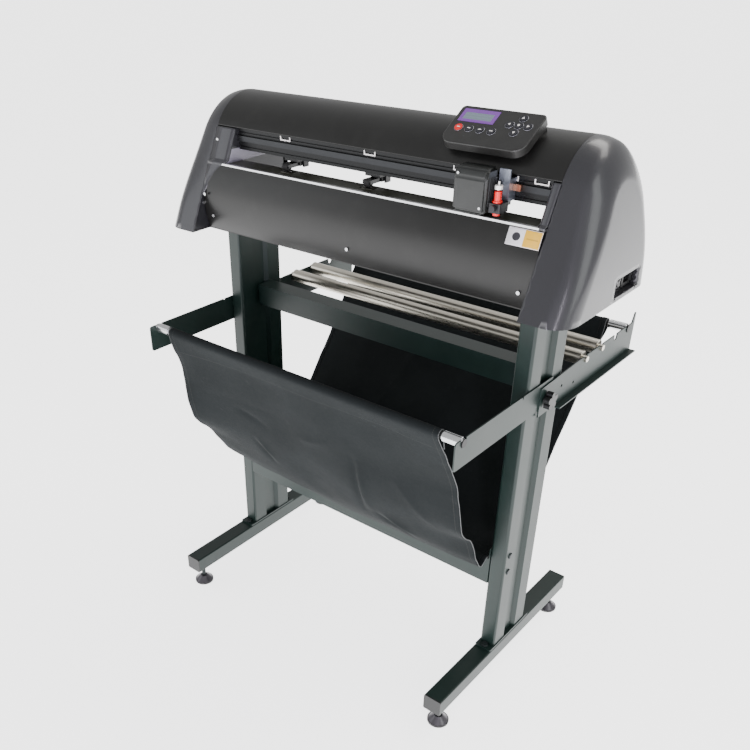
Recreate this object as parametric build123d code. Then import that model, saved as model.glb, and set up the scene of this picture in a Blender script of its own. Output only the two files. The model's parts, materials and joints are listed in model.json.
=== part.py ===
from build123d import *
import math
import os

# Vinyl cutter on a floor stand.  Millimetres, +Z up, +X to the operator's right, +Y to the rear.
# Every sub-part is drawn about the line that joins the two columns at floor level, and is shifted
# along Y when it is written, so that the origin is at the middle of the base of the whole object.

# ---------------------------------------------------------------- driving dimensions: stand
leg_spacing = 714.0
leg_w = 34.0
leg_d = 127.0
leg_corner_r = 5.0
leg_wall = 2.5
groove_mouth = 46.0
groove_floor = 32.0
groove_depth = 8.0
foot_w = 40.0
foot_h = 37.0
foot_wall = 2.5
foot_front = 271.0
foot_back = 255.0
foot_cap_t = 3.0
foot_under = 49.0
pad_r = 22.5
pad_h = 17.0
pad_inset = 30.0
stem_r = 5.0
nut_h = 8.0
nut_af = 17.0
base_plate_t = 4.0
base_plate_over = 18.0
upper_bar_top = 720.0
upper_bar_h = 46.0
upper_bar_front = -10.0
upper_bar_d = 42.0
lower_bar_top = 309.0
lower_bar_h = 62.0
lower_bar_d = 30.0
lower_tab_h = 26.0
bar_wall = 2.0
bar_end_t = 3.0
arm_t = 2.5
arm_front = 300.0
arm_h = 54.0
arm_top = 700.0
arm_rise = 2.0
arm_back = 24.0
rod_r = 8.0
rod_y = -276.0
rod_z = 694.0
slot_clear = 0.4
bracket_t = 2.5
bracket_back = 372.0
bracket_front = -22.0
bracket_low = 634.0
bracket_h = 62.0
flange_w = 13.0
rear_lip_h = 20.0
roller_r = 14.0
roller_journal_r = 6.0
roller_ys = (151.0, 219.0)
roller_z = 690.0
rear_rod_y = 342.0
rear_rod_z = 690.0
spare_slot_y = 284.0
knob_r = 17.0
knob_t = 12.0
knob_z = 664.0
bolt_r = 4.0
head_r = 6.5
head_h = 4.5
sling_half_w = 334.0
sling_t = 6.0
sling_over_bar = 7.5
sling_front_bow = 24.0
sling_sag = 15.0

# ---------------------------------------------------------------- driving dimensions: machine
seam_beyond_leg = 7.0
cap_w = 84.0
cap_low = 864.0
crown_r = 104.0
crown_y = 30.0
crown_z = 1013.0
front_angle = 65.0
cap_round = 42.0
cap_edge_r = 5.0
cap_wall = 3.0
cap_lean = 9.0
plate_inset = 2.0
plate_t = 2.0
sheet_t = 1.5
gap = 0.5
top_cover_front = 1062.0
top_cover_back = 1000.0
cover_lip = 10.0
platen_top = 996.0
platen_t = 4.0
platen_front = -88.0
platen_back = -40.0
strip_w = 8.0
strip_proud = 1.5
front_bulge = 14.0
front_foot_y = -105.0
rear_foot_y = 61.0
pan_t = 2.0
beam_front = -50.0
beam_back = 14.0
beam_low = 1019.0
beam_top = 1059.0
beam_wall = 3.0
rail_h = 10.0
rail_out = 5.0
rail_z = 1041.0
grit_r = 11.0
grit_w = 24.0
shaft_r = 5.0
grit_y = -60.0
grit_xs = (-195.0, 5.0, 255.0)
pinch_r = 7.0
pinch_w = 12.0
pinch_axle_r = 2.0
media_gap = 0.3
pinch_pivot_y = -22.0
pinch_pivot_z = 1007.0
pinch_block_w = 34.0
run_clear = 0.05
carriage_x0 = 214.0
carriage_x1 = 276.0
carriage_front = -108.0
carriage_back = -70.0
carriage_low = 1003.0
carriage_top = 1073.0
tool_x = 290.0
tool_y = -92.0
blade_r = 6.0
pod_x0 = 156.0
pod_x1 = 312.0
pod_back_y = 2.0
pod_back_z = 1143.0
pod_tilt = 31.0
pod_len = 86.0
pod_t = 15.0
pod_wall = 2.5
button_travel = 1.0
bay_y0 = 12.0
bay_y1 = 104.0
bay_low = 8.0
bay_high = 40.0
bay_depth = 14.0
bay_wall = 2.0
panel_t = 2.0
panel_proud = 3.0
inlet_y = 82.0
inlet_w = 31.0
inlet_h = 24.0
switch_y = 52.0
switch_w = 13.0
switch_h = 20.0
port_y = 28.0
port_w = 12.0
feed_motor_w = 56.0
belt_r = 8.0
belt_t = 1.5
belt_w = 6.0

# ---------------------------------------------------------------- derived values
leg_x = leg_spacing / 2
leg_in = leg_x - leg_w / 2
leg_out = leg_x + leg_w / 2
beam_top_z = foot_under + foot_h
leg_low = beam_top_z + base_plate_t
seam_x = leg_out + seam_beyond_leg
pan_low = cap_low + pan_t
leg_top = pan_low - base_plate_t
depth_shift = (arm_front - bracket_back) / 2
cap_x1 = seam_x + cap_w
side_x = seam_x + plate_inset
grit_z = platen_top + 1.0 - grit_r
panel_x = cap_x1 - cap_wall - bay_depth
bay_z0 = cap_low + bay_low
bay_z1 = cap_low + bay_high
socket_z = (bay_z0 + bay_z1) / 2
socket_x = panel_x + panel_t + panel_proud
pinch_z = platen_top + 1.0 + media_gap + pinch_r
arm_out = leg_out + arm_t

os.makedirs("parts", exist_ok=True)
parts = {}


# ---------------------------------------------------------------- small helpers
def box(x0, x1, y0, y1, z0, z1):
    """A block between six planes."""
    centre = Pos((x0 + x1) / 2, (y0 + y1) / 2, (z0 + z1) / 2)
    return centre * Box(abs(x1 - x0), abs(y1 - y0), abs(z1 - z0))


def rod_x(r, x0, x1, y, z):
    """A round bar along X."""
    return Pos((x0 + x1) / 2, y, z) * Rot(0, 90, 0) * Cylinder(r, abs(x1 - x0))


def rod_along_y(r, x, y0, y1, z):
    """A round bar along Y."""
    return Pos(x, (y0 + y1) / 2, z) * Rot(90, 0, 0) * Cylinder(r, abs(y1 - y0))


def rod_up(r, x, y, z0, z1):
    """A round bar along Z."""
    return Pos(x, y, (z0 + z1) / 2) * Cylinder(r, abs(z1 - z0))


def slab_x(points, x0, x1):
    """A polygon drawn in Y and Z, drawn out from x0 to x1."""
    face = make_face(Polyline(*points, close=True))
    return extrude(Plane.YZ.offset(min(x0, x1)) * face, amount=abs(x1 - x0))


def hex_up(flats, x, y, z0, z1):
    """A hexagonal nut or head along Z."""
    face = RegularPolygon(flats / 2, 6, major_radius=False)
    return extrude(Pos(x, y, z0) * face, amount=z1 - z0)


def mirrored(shape):
    """The same piece on the other side of the machine."""
    return mirror(shape, about=Plane.YZ)


def group(*shapes):
    """Separate solids kept together in one node."""
    return Compound([solid for shape in shapes for solid in shape.solids()])


def keep(name, shape):
    """Remember a finished sub-part under its node name."""
    parts[name] = shape


# ---------------------------------------------------------------- outline of the machine body
def crown_point(r, angle):
    """A point on the crown circle of radius r, in Y and Z."""
    a = math.radians(angle)
    return (crown_y + r * math.cos(a), crown_z + r * math.sin(a))


def front_line_y(inset, z):
    """Y of the sloping front line, moved inwards by inset, at height z."""
    y0, z0 = crown_point(crown_r - inset, 90 + front_angle)
    return y0 - (z0 - z) / math.tan(math.radians(front_angle))


def body_face(inset, low, lean=0):
    """The D-shaped outline of the body, moved inwards by inset and open down to low."""
    r = crown_r - inset
    start = (front_line_y(inset, low), low)
    tangent = crown_point(r, 90 + front_angle)
    rear = crown_point(r, lean)
    foot = (rear[0] + (rear[1] - low) * math.tan(math.radians(lean)), low)
    edges = [
        Line(start, tangent),
        ThreePointArc(tangent, crown_point(r, 80), rear),
        Line(rear, foot),
        Line(foot, start),
    ]
    return make_face(edges)


def body_solid(inset, low, x0, x1, lean=0):
    """The body outline drawn out along X."""
    return extrude(Plane.YZ.offset(x0) * body_face(inset, low, lean), amount=x1 - x0)


def rounded_cap(inset, x0, x1, low):
    """A piece of the body outline whose outer face runs into a large soft round."""
    below = cap_round * 2
    solid = body_solid(inset, low - below, x0, x1, cap_lean)
    outer = solid.faces().sort_by(Axis.X)[-1]
    soft = [e for e in outer.edges() if e.center().Z > low]
    solid = fillet(soft, cap_round - inset)
    return solid & box(x0, x1, crown_y - 400, crown_y + 400, low, crown_z + 400)


# ---------------------------------------------------------------- stand
def column_section():
    """Closed column section with a shallow trough down each broad side."""
    outer = RectangleRounded(leg_w, leg_d, leg_corner_r)
    trough = make_face(
        Polyline(
            (leg_w / 2 + 1, groove_mouth / 2 + 1),
            (leg_w / 2 - groove_depth, groove_floor / 2),
            (leg_w / 2 - groove_depth, -groove_floor / 2),
            (leg_w / 2 + 1, -groove_mouth / 2 - 1),
            close=True,
        )
    )
    shape = outer - trough - mirror(trough, about=Plane.YZ)
    inner = RectangleRounded(leg_w - 2 * leg_wall, leg_d - 2 * leg_wall, leg_corner_r - leg_wall + 1)
    half = groove_mouth / 2 + leg_wall + 1
    band = Rectangle(leg_w, 2 * half)
    web = Rectangle(leg_w - 2 * groove_depth - 2 * leg_wall, 2 * half + 1)
    return shape - (inner - band + web)


def make_column():
    """One column, standing on its base plate."""
    return extrude(Pos(leg_x, 0, leg_low) * column_section(), amount=leg_top - leg_low)


def make_foot_beam():
    """Hollow foot beam with clearance holes for the levelling stems."""
    x0, x1 = leg_x - foot_w / 2, leg_x + foot_w / 2
    beam = box(x0, x1, -foot_front + foot_cap_t, foot_back - foot_cap_t, foot_under, beam_top_z)
    vertical = beam.edges().filter_by(Axis.Y)
    beam = fillet(vertical, 3)
    hollow = box(
        x0 + foot_wall, x1 - foot_wall, -foot_front, foot_back,
        foot_under + foot_wall, beam_top_z - foot_wall,
    )
    beam = beam - hollow
    for y in (-foot_front + pad_inset, foot_back - pad_inset):
        beam = beam - rod_up(stem_r, leg_x, y, foot_under - 1, foot_under + foot_wall + 1)
    return beam


def make_foot_caps():
    """Plastic end plugs of one foot beam."""
    solids = []
    for y0, y1, y2 in (
        (-foot_front, -foot_front + foot_cap_t, -foot_front + foot_cap_t + 12),
        (foot_back, foot_back - foot_cap_t, foot_back - foot_cap_t - 12),
    ):
        head = box(leg_x - foot_w / 2, leg_x + foot_w / 2, y0, y1, foot_under, beam_top_z)
        head = fillet(head.edges().filter_by(Axis.Y), 3)
        inside = foot_wall + 0.2
        plug = box(
            leg_x - foot_w / 2 + inside, leg_x + foot_w / 2 - inside, y1, y2,
            foot_under + inside, beam_top_z - inside,
        )
        solids.append(head + plug)
    return group(*solids)


def make_levelling_foot(y):
    """Domed pad, threaded stem and lock nut of one levelling foot."""
    base = rod_up(pad_r, leg_x, y, 0, 5)
    dome = Pos(leg_x, y, 5 + (pad_h - 5) / 2) * Cone(pad_r - 1.5, stem_r + 4, pad_h - 5)
    stem = rod_up(stem_r, leg_x, y, pad_h - 1, foot_under + foot_wall)
    nut = hex_up(nut_af, leg_x, y, foot_under - nut_h, foot_under)
    return base + dome + stem + nut


def make_base_plate():
    """Plate welded under one column and bolted to the foot beam."""
    half = leg_d / 2 + base_plate_over
    x0, x1 = leg_x - foot_w / 2 + 1, leg_x + foot_w / 2 - 1
    plate = box(x0, x1, -half, half, beam_top_z, leg_low)
    plate = fillet(plate.edges().filter_by(Axis.Z), 4)
    for y in (-half + base_plate_over / 2, half - base_plate_over / 2):
        plate = plate - rod_up(bolt_r, leg_x, y, beam_top_z - 1, leg_low + 1)
    return plate


def make_base_bolts():
    """Hexagon bolts that hold one base plate to its foot beam."""
    solids = []
    half = leg_d / 2 + base_plate_over / 2
    for y in (-half, half):
        head = hex_up(13, leg_x, y, leg_low, leg_low + head_h)
        shank = rod_up(bolt_r - 0.2, leg_x, y, beam_top_z, leg_low)
        solids.append(head + shank)
    return group(*solids)


def make_top_plate():
    """Plate on top of one column that carries the machine."""
    half = leg_d / 2 + 6
    plate = box(leg_x - 34, leg_x + leg_w / 2 + 2, -half, half, leg_top, pan_low - pan_t)
    return fillet(plate.edges().filter_by(Axis.Z), 4)


def make_crossbar(top, height, front, depth, tab):
    """Folded C-section bar with an end flange on each column, taller than the bar by tab."""
    x1 = leg_in - bar_end_t
    bar = box(-x1, x1, front, front + depth, top - height, top)
    bar = bar - box(
        -x1 - 1, x1 + 1, front + bar_wall, front + depth + 1,
        top - height + bar_wall, top - bar_wall,
    )
    flanges = []
    for side in (-1, 1):
        flanges.append(box(side * x1, side * leg_in, front, front + depth, top - height, top + tab))
    return bar + flanges[0] + flanges[1]


def make_crossbar_bolts():
    """Domed screws through the columns into both crossbars, seen on the outer sides."""
    solids = []
    y = -leg_d / 2 + lower_bar_d * 0.6
    zs = (lower_bar_top + lower_tab_h - 10, lower_bar_top - 25)
    for side in (-1, 1):
        for z in zs:
            head = rod_x(head_r, side * leg_out, side * (leg_out + 3), y, z)
            rim = head.edges().filter_by(GeomType.CIRCLE)
            rim = rim.sort_by(Axis.X)[-1] if side > 0 else rim.sort_by(Axis.X)[0]
            solids.append(fillet(rim, 2))
    return group(*solids)


def make_front_arm():
    """Flat arm that carries the front rod of the catch basket."""
    low = arm_top - arm_h
    rise = arm_rise
    outline = [
        (-arm_front, low + rise), (-arm_front, arm_top + rise), (arm_back, arm_top), (arm_back, low),
    ]
    arm = slab_x(outline, leg_out, arm_out)
    tip = arm.edges().filter_by(Axis.X).sort_by(Axis.Y)[:2]
    arm = fillet(tip, 5)
    slot_r = rod_r + slot_clear
    mouth = box(leg_out - 1, arm_out + 1, rod_y - slot_r, rod_y + slot_r, rod_z, arm_top + 20)
    arm = arm - mouth - rod_x(slot_r, leg_out - 1, arm_out + 1, rod_y, rod_z)
    notch_y = -leg_d / 2 - 22
    notch = [(notch_y - 4, arm_top + 5), (notch_y + 4, arm_top + 5), (notch_y, arm_top - 6)]
    arm = arm - slab_x(notch, leg_out - 1, arm_out + 1)
    return arm - rod_x(bolt_r, leg_out - 1, arm_out + 1, 0, knob_z)


def make_roll_bracket():
    """Notched bracket behind one column that carries the media rollers."""
    x0, x1 = arm_out, arm_out + bracket_t
    top = bracket_low + bracket_h
    outline = [
        (bracket_front, bracket_low), (bracket_front, top - 4), (roller_ys[0] - 30, top),
        (bracket_back - 12, top), (bracket_back - 4, top + rear_lip_h),
        (bracket_back, top + rear_lip_h), (bracket_back, bracket_low),
    ]
    plate = slab_x(outline, x0, x1)
    plate = plate + box(x0, x1 + flange_w, bracket_front + 60, bracket_back, bracket_low - bracket_t, bracket_low)
    slots = [(y, roller_z, roller_journal_r + slot_clear) for y in roller_ys]
    slots.append((spare_slot_y, roller_z, roller_journal_r + slot_clear))
    slots.append((rear_rod_y, rear_rod_z, rod_r + slot_clear))
    for y, z, r in slots:
        plate = plate - box(x0 - 1, x1 + 1, y - r, y + r, z, top + 60)
        plate = plate - rod_x(r, x0 - 1, x1 + 1, y, z)
    for y, z in ((60, bracket_low + 34), (110, bracket_low + 22), (32, bracket_low + 14)):
        plate = plate - rod_x(3, x0 - 1, x1 + 1, y, z)
    return plate - rod_x(bolt_r, x0 - 1, x1 + 1, 0, knob_z)


def make_media_roller(y):
    """Steel tube roller with turned journals that sit in the brackets."""
    half = arm_out - 4
    end = arm_out + bracket_t + 4
    body = rod_x(roller_r, -half, half, y, roller_z)
    return body + rod_x(roller_journal_r, -end, end, y, roller_z)


def make_basket_rod(y, z, end):
    """Rod that holds one edge of the basket."""
    return rod_x(rod_r - 0.5, -end, end, y, z)


def make_rod_caps(y, z, end):
    """Turned end sleeves that keep a basket rod between its arms."""
    solids = []
    for side in (-1, 1):
        sleeve = rod_x(rod_r + 1.5, side * (sling_half_w + 6), side * (end - 1), y, z)
        sleeve = sleeve - rod_x(rod_r - 0.5 + run_clear, side * sling_half_w, side * end, y, z)
        solids.append(sleeve)
    return group(*solids)


def make_knob():
    """Five-lobed clamping knob with its screw."""
    x0 = arm_out + bracket_t
    hub = rod_x(knob_r * 0.62, x0 + 3, x0 + 3 + knob_t, 0, knob_z)
    neck = rod_x(7, x0 + 0.1, x0 + 4, 0, knob_z)
    knob = hub + neck
    for i in range(5):
        a = math.radians(72 * i + 18)
        y = knob_r * 0.66 * math.cos(a)
        z = knob_z + knob_r * 0.66 * math.sin(a)
        knob = knob + rod_x(knob_r * 0.36, x0 + 3, x0 + 3 + knob_t, y, z)
    return knob + rod_x(bolt_r - run_clear, leg_out - groove_depth + 0.5, x0 + 4, 0, knob_z)


def sling_middle():
    """Middle line of the hanging sling: down in front, over the lower crossbar, and up behind."""
    front = (rod_y, rod_z - rod_r - 4)
    rear = (rear_rod_y, rear_rod_z - rod_r - 4)
    bar = (-leg_d / 2 + lower_bar_d / 2, lower_bar_top + sling_over_bar)
    fall_y, fall_z = front[0] - bar[0], front[1] - bar[1]
    rise_y, rise_z = rear[0] - bar[0], rear[1] - bar[1]
    bow = sling_front_bow
    return [
        front,
        (bar[0] + fall_y * 0.90 - bow * 0.4, bar[1] + fall_z * 0.76),
        (bar[0] + fall_y * 0.73 - bow * 0.9, bar[1] + fall_z * 0.47),
        (bar[0] + fall_y * 0.53 - bow * 0.9, bar[1] + fall_z * 0.22),
        (bar[0] + fall_y * 0.26 - bow * 0.2, bar[1] + fall_z * 0.035),
        bar,
        (bar[0] + rise_y * 0.09, bar[1] - sling_sag * 0.45),
        (bar[0] + rise_y * 0.20, bar[1] - sling_sag),
        (bar[0] + rise_y * 0.33, bar[1] + rise_z * 0.06),
        (bar[0] + rise_y * 0.55, bar[1] + rise_z * 0.34),
        rear,
    ]


def make_sling():
    """Simple closed solid where the fabric basket hangs."""
    middle = sling_middle()
    outer, inner = [], []
    for i, (y, z) in enumerate(middle):
        y0, z0 = middle[max(i - 1, 0)]
        y1, z1 = middle[min(i + 1, len(middle) - 1)]
        length = math.hypot(y1 - y0, z1 - z0)
        ny, nz = -(z1 - z0) / length, (y1 - y0) / length
        outer.append((y - ny * sling_t / 2, z - nz * sling_t / 2))
        inner.append((y + ny * sling_t / 2, z + nz * sling_t / 2))
    edges = [
        Spline(*outer), Line(outer[-1], inner[-1]),
        Spline(*reversed(inner)), Line(inner[0], outer[0]),
    ]
    face = Plane.YZ.offset(-sling_half_w) * make_face(edges)
    return extrude(face, amount=2 * sling_half_w)


# ---------------------------------------------------------------- machine body
def make_end_cap():
    """Moulded end cap: a shell with a soft outer edge and a bay for the sockets."""
    shell = rounded_cap(0, seam_x, cap_x1, cap_low)
    inner = rounded_cap(cap_wall, seam_x - 1, cap_x1 - cap_wall, cap_low + cap_wall)
    return shell - inner


def make_socket_cap(cap):
    """Right cap with a recessed bay for the sockets."""
    ring = box(panel_x + 2, cap_x1 - 1, bay_y0 - bay_wall, bay_y1 + bay_wall, bay_z0 - bay_wall, bay_z1 + bay_wall)
    cut = box(panel_x - 1, cap_x1 + 1, bay_y0, bay_y1, bay_z0, bay_z1)
    return cap + ring - fillet(cut.edges().filter_by(Axis.X), 6)


def make_socket_panel():
    """Recessed metal panel with its switch frame and data socket."""
    x0, x1 = panel_x - 1, panel_x + panel_t + 1
    panel = box(panel_x, panel_x + panel_t, bay_y0 - 4, bay_y1 + 4, cap_low + cap_wall, bay_z1 + 6)
    for y, w, h in ((inlet_y, inlet_w, inlet_h), (switch_y, switch_w, switch_h), (port_y, port_w, port_w)):
        w = w + 2 * run_clear
        h = h + 2 * run_clear
        panel = panel - box(x0, x1, y - w / 2, y + w / 2, socket_z - h / 2, socket_z + h / 2)
    return group(panel, make_switch_frame(), make_port())


def make_inlet():
    """Three-pin mains inlet with its flange."""
    y0, y1 = inlet_y - inlet_w / 2, inlet_y + inlet_w / 2
    z0, z1 = socket_z - inlet_h / 2, socket_z + inlet_h / 2
    body = box(socket_x - 22, socket_x, y0, y1, z0, z1)
    body = body + box(panel_x + panel_t, socket_x, y0 - 2, y1 + 2, z0 - 2, z1 + 2)
    body = body - box(socket_x - 14, socket_x + 1, y0 + 4, y1 - 4, z0 + 4, z1 - 4)
    for y, z in ((inlet_y, socket_z + 4), (inlet_y - 6.5, socket_z - 3), (inlet_y + 6.5, socket_z - 3)):
        body = body + box(socket_x - 15, socket_x - 4, y - 1, y + 1, z - 2.5, z + 2.5)
    return body


def make_switch_frame():
    """Frame of the mains switch."""
    y0, y1 = switch_y - switch_w / 2, switch_y + switch_w / 2
    z0, z1 = socket_z - switch_h / 2, socket_z + switch_h / 2
    frame = box(socket_x - 16, socket_x, y0, y1, z0, z1)
    return frame - box(socket_x - 12, socket_x + 1, y0 + 1.5, y1 - 1.5, z0 + 1.5, z1 - 1.5)


def make_rocker():
    """Tilting rocker of the mains switch, slightly hollow across its face."""
    half = switch_h / 2 - 2.8
    width = switch_w - 3.6
    outline = [
        (socket_x - 7, socket_z - half), (socket_x + 1.5, socket_z - half), (socket_x - 0.5, socket_z),
        (socket_x + 1.5, socket_z + half), (socket_x - 7, socket_z + half),
    ]
    face = make_face(Polyline(*outline, close=True))
    return extrude(Plane.XZ.offset(-switch_y - width / 2) * face, amount=width)


def make_port():
    """Data socket on the socket panel."""
    half = port_w / 2
    port = box(socket_x - 15, socket_x - 1, port_y - half, port_y + half, socket_z - half, socket_z + half)
    return port - box(
        socket_x - 11, socket_x, port_y - half + 2, port_y + half - 2, socket_z - half + 2, socket_z + half - 2)


def make_side_plate():
    """Sheet-metal plate that closes one cap and carries the beam and the covers."""
    inset = cap_wall + 0.4
    low = cap_low + cap_wall + 0.4
    plate = body_solid(inset, low, side_x, side_x + plate_t)
    plate = plate - rod_x(shaft_r + 3.2, side_x - 1, side_x + plate_t + 1, grit_y, grit_z)
    return plate


def make_top_cover():
    """Rolled steel cover over the beam, with a turned-in lip at its front edge."""
    x1 = seam_x - gap
    sheet = body_solid(0, cap_low, -x1, x1) - body_solid(sheet_t, cap_low, -x1 - 1, x1 + 1)
    sheet = sheet - box(-x1 - 1, x1 + 1, -400, crown_y, cap_low - 1, top_cover_front)
    sheet = sheet - box(-x1 - 1, x1 + 1, crown_y, 400, cap_low - 1, top_cover_back)
    y0 = crown_y - math.sqrt(crown_r ** 2 - (top_cover_front - crown_z) ** 2) + 0.3
    lip = box(-x1, x1, y0, y0 + cover_lip, top_cover_front, top_cover_front + sheet_t)
    rear = crown_y + crown_r
    back_lip = box(-x1, x1, rear - cover_lip, rear, top_cover_back, top_cover_back + sheet_t)
    return sheet + lip + back_lip


def front_cover_points(inset):
    """Top, bulge and foot of the front cover's arc, moved inwards by inset."""
    top = (platen_front - strip_w + inset, platen_top - 2)
    foot = (front_foot_y + inset, pan_low)
    mid = ((top[0] + foot[0]) / 2 - front_bulge, (top[1] + foot[1]) / 2)
    return top, mid, foot


def make_front_cover():
    """Convex front cover below the platen, with a flat lip under the cutting strip."""
    x1 = seam_x - gap
    top, mid, foot = front_cover_points(0)
    top_i, mid_i, foot_i = front_cover_points(sheet_t)
    edges = [
        ThreePointArc(foot, mid, top), Line(top, top_i),
        ThreePointArc(top_i, mid_i, foot_i), Line(foot_i, foot),
    ]
    sheet = extrude(Plane.YZ.offset(-x1) * make_face(edges), amount=2 * x1)
    lip = box(-x1, x1, top[0] + 0.4, platen_front - gap, platen_top - 2 - sheet_t, platen_top - 2)
    return sheet + lip


def make_rear_cover():
    """Sloping cover behind the platen that leads the media up from the rollers."""
    x1 = seam_x - gap
    t = sheet_t
    points = [
        (platen_back + gap, platen_top - 1), (rear_foot_y, pan_low), (rear_foot_y - t * 1.3, pan_low),
        (platen_back + gap, platen_top - 1 - t * 1.7),
    ]
    return slab_x(points, -x1, x1)


def make_base_pan():
    """Bottom pan with turned-up long edges, standing on the column plates."""
    x1 = seam_x
    pan = box(-x1, x1, front_foot_y, rear_foot_y, pan_low - pan_t, pan_low)
    front = front_foot_y + sheet_t + gap
    back = rear_foot_y - sheet_t * 1.3 - 3.5
    pan = pan + box(-x1, x1, front, front + pan_t, pan_low - 0.5, pan_low + 16)
    return pan + box(-x1, x1, back - pan_t, back, pan_low - 0.5, pan_low + 3)


def make_cap_skirt():
    """Folded steel edge under one end cap, between the base pan and the cap."""
    x0, x1 = side_x + plate_t + 0.4, cap_x1 - cap_round * 0.55
    y0 = -62.0
    y1 = crown_y + crown_r - cap_round * 0.5
    return box(x0, x1, y0, y1, cap_low - 4, cap_low)


def make_platen():
    """Media table with an opening over each grit roller."""
    x1 = side_x - gap / 2
    plate = box(-x1, x1, platen_front, platen_back, platen_top - platen_t, platen_top)
    back = plate.edges().filter_by(Axis.X).sort_by(Axis.Y)[-2:].sort_by(Axis.Z)[-1]
    plate = fillet(back, 3)
    reach = math.sqrt(grit_r ** 2 - (platen_top - platen_t - grit_z) ** 2) + 1
    for x in grit_xs:
        half = grit_w / 2 + 1.5
        plate = plate - box(x - half, x + half, grit_y - reach, grit_y + reach, 0, platen_top + 1)
    front = box(-x1, x1, platen_front + 6, platen_front + 8, platen_top - 16, platen_top - platen_t)
    return plate + front


def make_cutting_strip():
    """Strip that the blade cuts against."""
    x1 = seam_x - gap
    return box(
        -x1, x1, platen_front - strip_w, platen_front - gap / 2,
        platen_top - 2, platen_top - 2 + 2 + strip_proud,
    )


def make_beam():
    """Aluminium cross beam with long grooves along its front."""
    x1 = side_x
    beam = box(-x1, x1, beam_front, beam_back, beam_low, beam_top)
    inner = box(
        -x1 - 1, x1 + 1, beam_front + 2 * beam_wall, beam_back - beam_wall,
        beam_low + beam_wall, beam_top - beam_wall,
    )
    beam = beam - inner
    for z in (beam_low + 7, beam_top - 6):
        beam = beam - box(-x1 - 1, x1 + 1, beam_front - 1, beam_front + 2.5, z - 1.5, z + 1.5)
    return beam


def make_rail():
    """Hardened guide rail screwed to the front of the beam."""
    x1 = seam_x - 6
    rail = box(
        -x1, x1, beam_front - rail_out, beam_front - run_clear, rail_z - rail_h / 2, rail_z + rail_h / 2)
    groove = box(-x1 - 1, x1 + 1, beam_front - 3.5, beam_front - 2, rail_z - 10, rail_z - rail_h / 2 + 1.5)
    return rail - groove - mirror(groove, about=Plane.XY.offset(rail_z))


# ---------------------------------------------------------------- media drive
def make_grit_shaft():
    """Feed shaft that carries the grit rollers and the driven pulley."""
    end = side_x + plate_t
    return rod_x(shaft_r, -end - 6, end + 30, grit_y, grit_z)


def make_grit_roller(x):
    """Knurled steel roller under the media."""
    roller = rod_x(grit_r, x - grit_w / 2, x + grit_w / 2, grit_y, grit_z)
    return roller


def make_bearing(side):
    """Flanged bearing of the feed shaft in one side plate."""
    x0 = side * side_x
    x1 = side * (side_x + plate_t + 3)
    bearing = rod_x(shaft_r + 3, x0, x1, grit_y, grit_z)
    bearing = bearing + rod_x(shaft_r + 5, side * (side_x + plate_t), x1, grit_y, grit_z)
    return bearing - rod_x(shaft_r + run_clear, x0 - side * 5, x1 + side * 5, grit_y, grit_z)


def toothed_pulley(r, x0, x1, y, z):
    """Timing pulley with flanges."""
    body = rod_x(r, x0, x1, y, z)
    flange = 1.5
    body = body + rod_x(r + 2, x0, x0 + flange, y, z) + rod_x(r + 2, x1 - flange, x1, y, z)
    return body


drive_y = -20.0
drive_z = 930.0
driven_r = 18.0
driver_r = 9.0
pulley_x0 = side_x + plate_t + 10
pulley_x1 = pulley_x0 + 11


def make_driven_pulley():
    """Large pulley on the feed shaft."""
    return toothed_pulley(driven_r, pulley_x0, pulley_x1, grit_y, grit_z)


def make_driver_pulley():
    """Small pulley on the feed motor's shaft."""
    pulley = toothed_pulley(driver_r, pulley_x0, pulley_x1, drive_y, drive_z)
    return pulley + rod_x(3.0, pulley_x0, pulley_x1 + 6, drive_y, drive_z)


def make_feed_motor():
    """Stepper motor that turns the feed shaft."""
    x0 = pulley_x1 + 4
    half = feed_motor_w / 2
    body = box(x0, x0 + 44, drive_y - half, drive_y + half, drive_z - half, drive_z + half)
    body = fillet(body.edges().filter_by(Axis.X), 5)
    body = body - rod_x(3.0 + run_clear, x0 - 1, x0 + 12, drive_y, drive_z)
    for y in (drive_y - half + 6, drive_y + half - 6):
        for z in (drive_z - half + 6, drive_z + half - 6):
            body = body + rod_x(3, side_x + plate_t, x0 + 1, y, z)
    return body


def belt_loop(c0, r0, c1, r1, t):
    """Outline of a belt round two pulleys, as a ring of thickness t."""
    def hull(extra):
        a, b = r0 + extra, r1 + extra
        dy, dz = c1[0] - c0[0], c1[1] - c0[1]
        dist = math.hypot(dy, dz)
        base = math.atan2(dz, dy)
        off = math.acos((a - b) / dist)
        pts = []
        for sign in (1, -1):
            ang = base + sign * off
            n = (math.cos(ang), math.sin(ang))
            pts.append(((c0[0] + a * n[0], c0[1] + a * n[1]), (c1[0] + b * n[0], c1[1] + b * n[1])))
        u = (math.cos(base), math.sin(base))
        far = (c1[0] + b * u[0], c1[1] + b * u[1])
        near = (c0[0] - a * u[0], c0[1] - a * u[1])
        (p0, p1), (q0, q1) = pts
        return make_face([
            Line(p0, p1), ThreePointArc(p1, far, q1), Line(q1, q0), ThreePointArc(q0, near, p0),
        ])
    return hull(t) - hull(0.1)


def make_feed_belt():
    """Toothed belt between the feed motor and the feed shaft."""
    ring = belt_loop((grit_y, grit_z), driven_r, (drive_y, drive_z), driver_r, belt_t)
    return extrude(Plane.YZ.offset(pulley_x0 + 2) * ring, amount=pulley_x1 - pulley_x0 - 4)


# ---------------------------------------------------------------- pinch rollers
def make_pinch_block(x):
    """Slider under the beam that carries one pinch arm."""
    half = pinch_block_w / 2
    top = beam_low - 0.5
    block = box(x - half, x + half, beam_front + 2, 4, top - 5, top)
    for side in (-1, 1):
        x0, x1 = x + side * half, x + side * (half - 4)
        block = block + box(x0, x1, pinch_pivot_y - 7, pinch_pivot_y + 7, pinch_pivot_z - 6, top)
    return block - rod_x(2.0 + run_clear, x - half - 1, x + half + 1, pinch_pivot_y, pinch_pivot_z)


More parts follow.
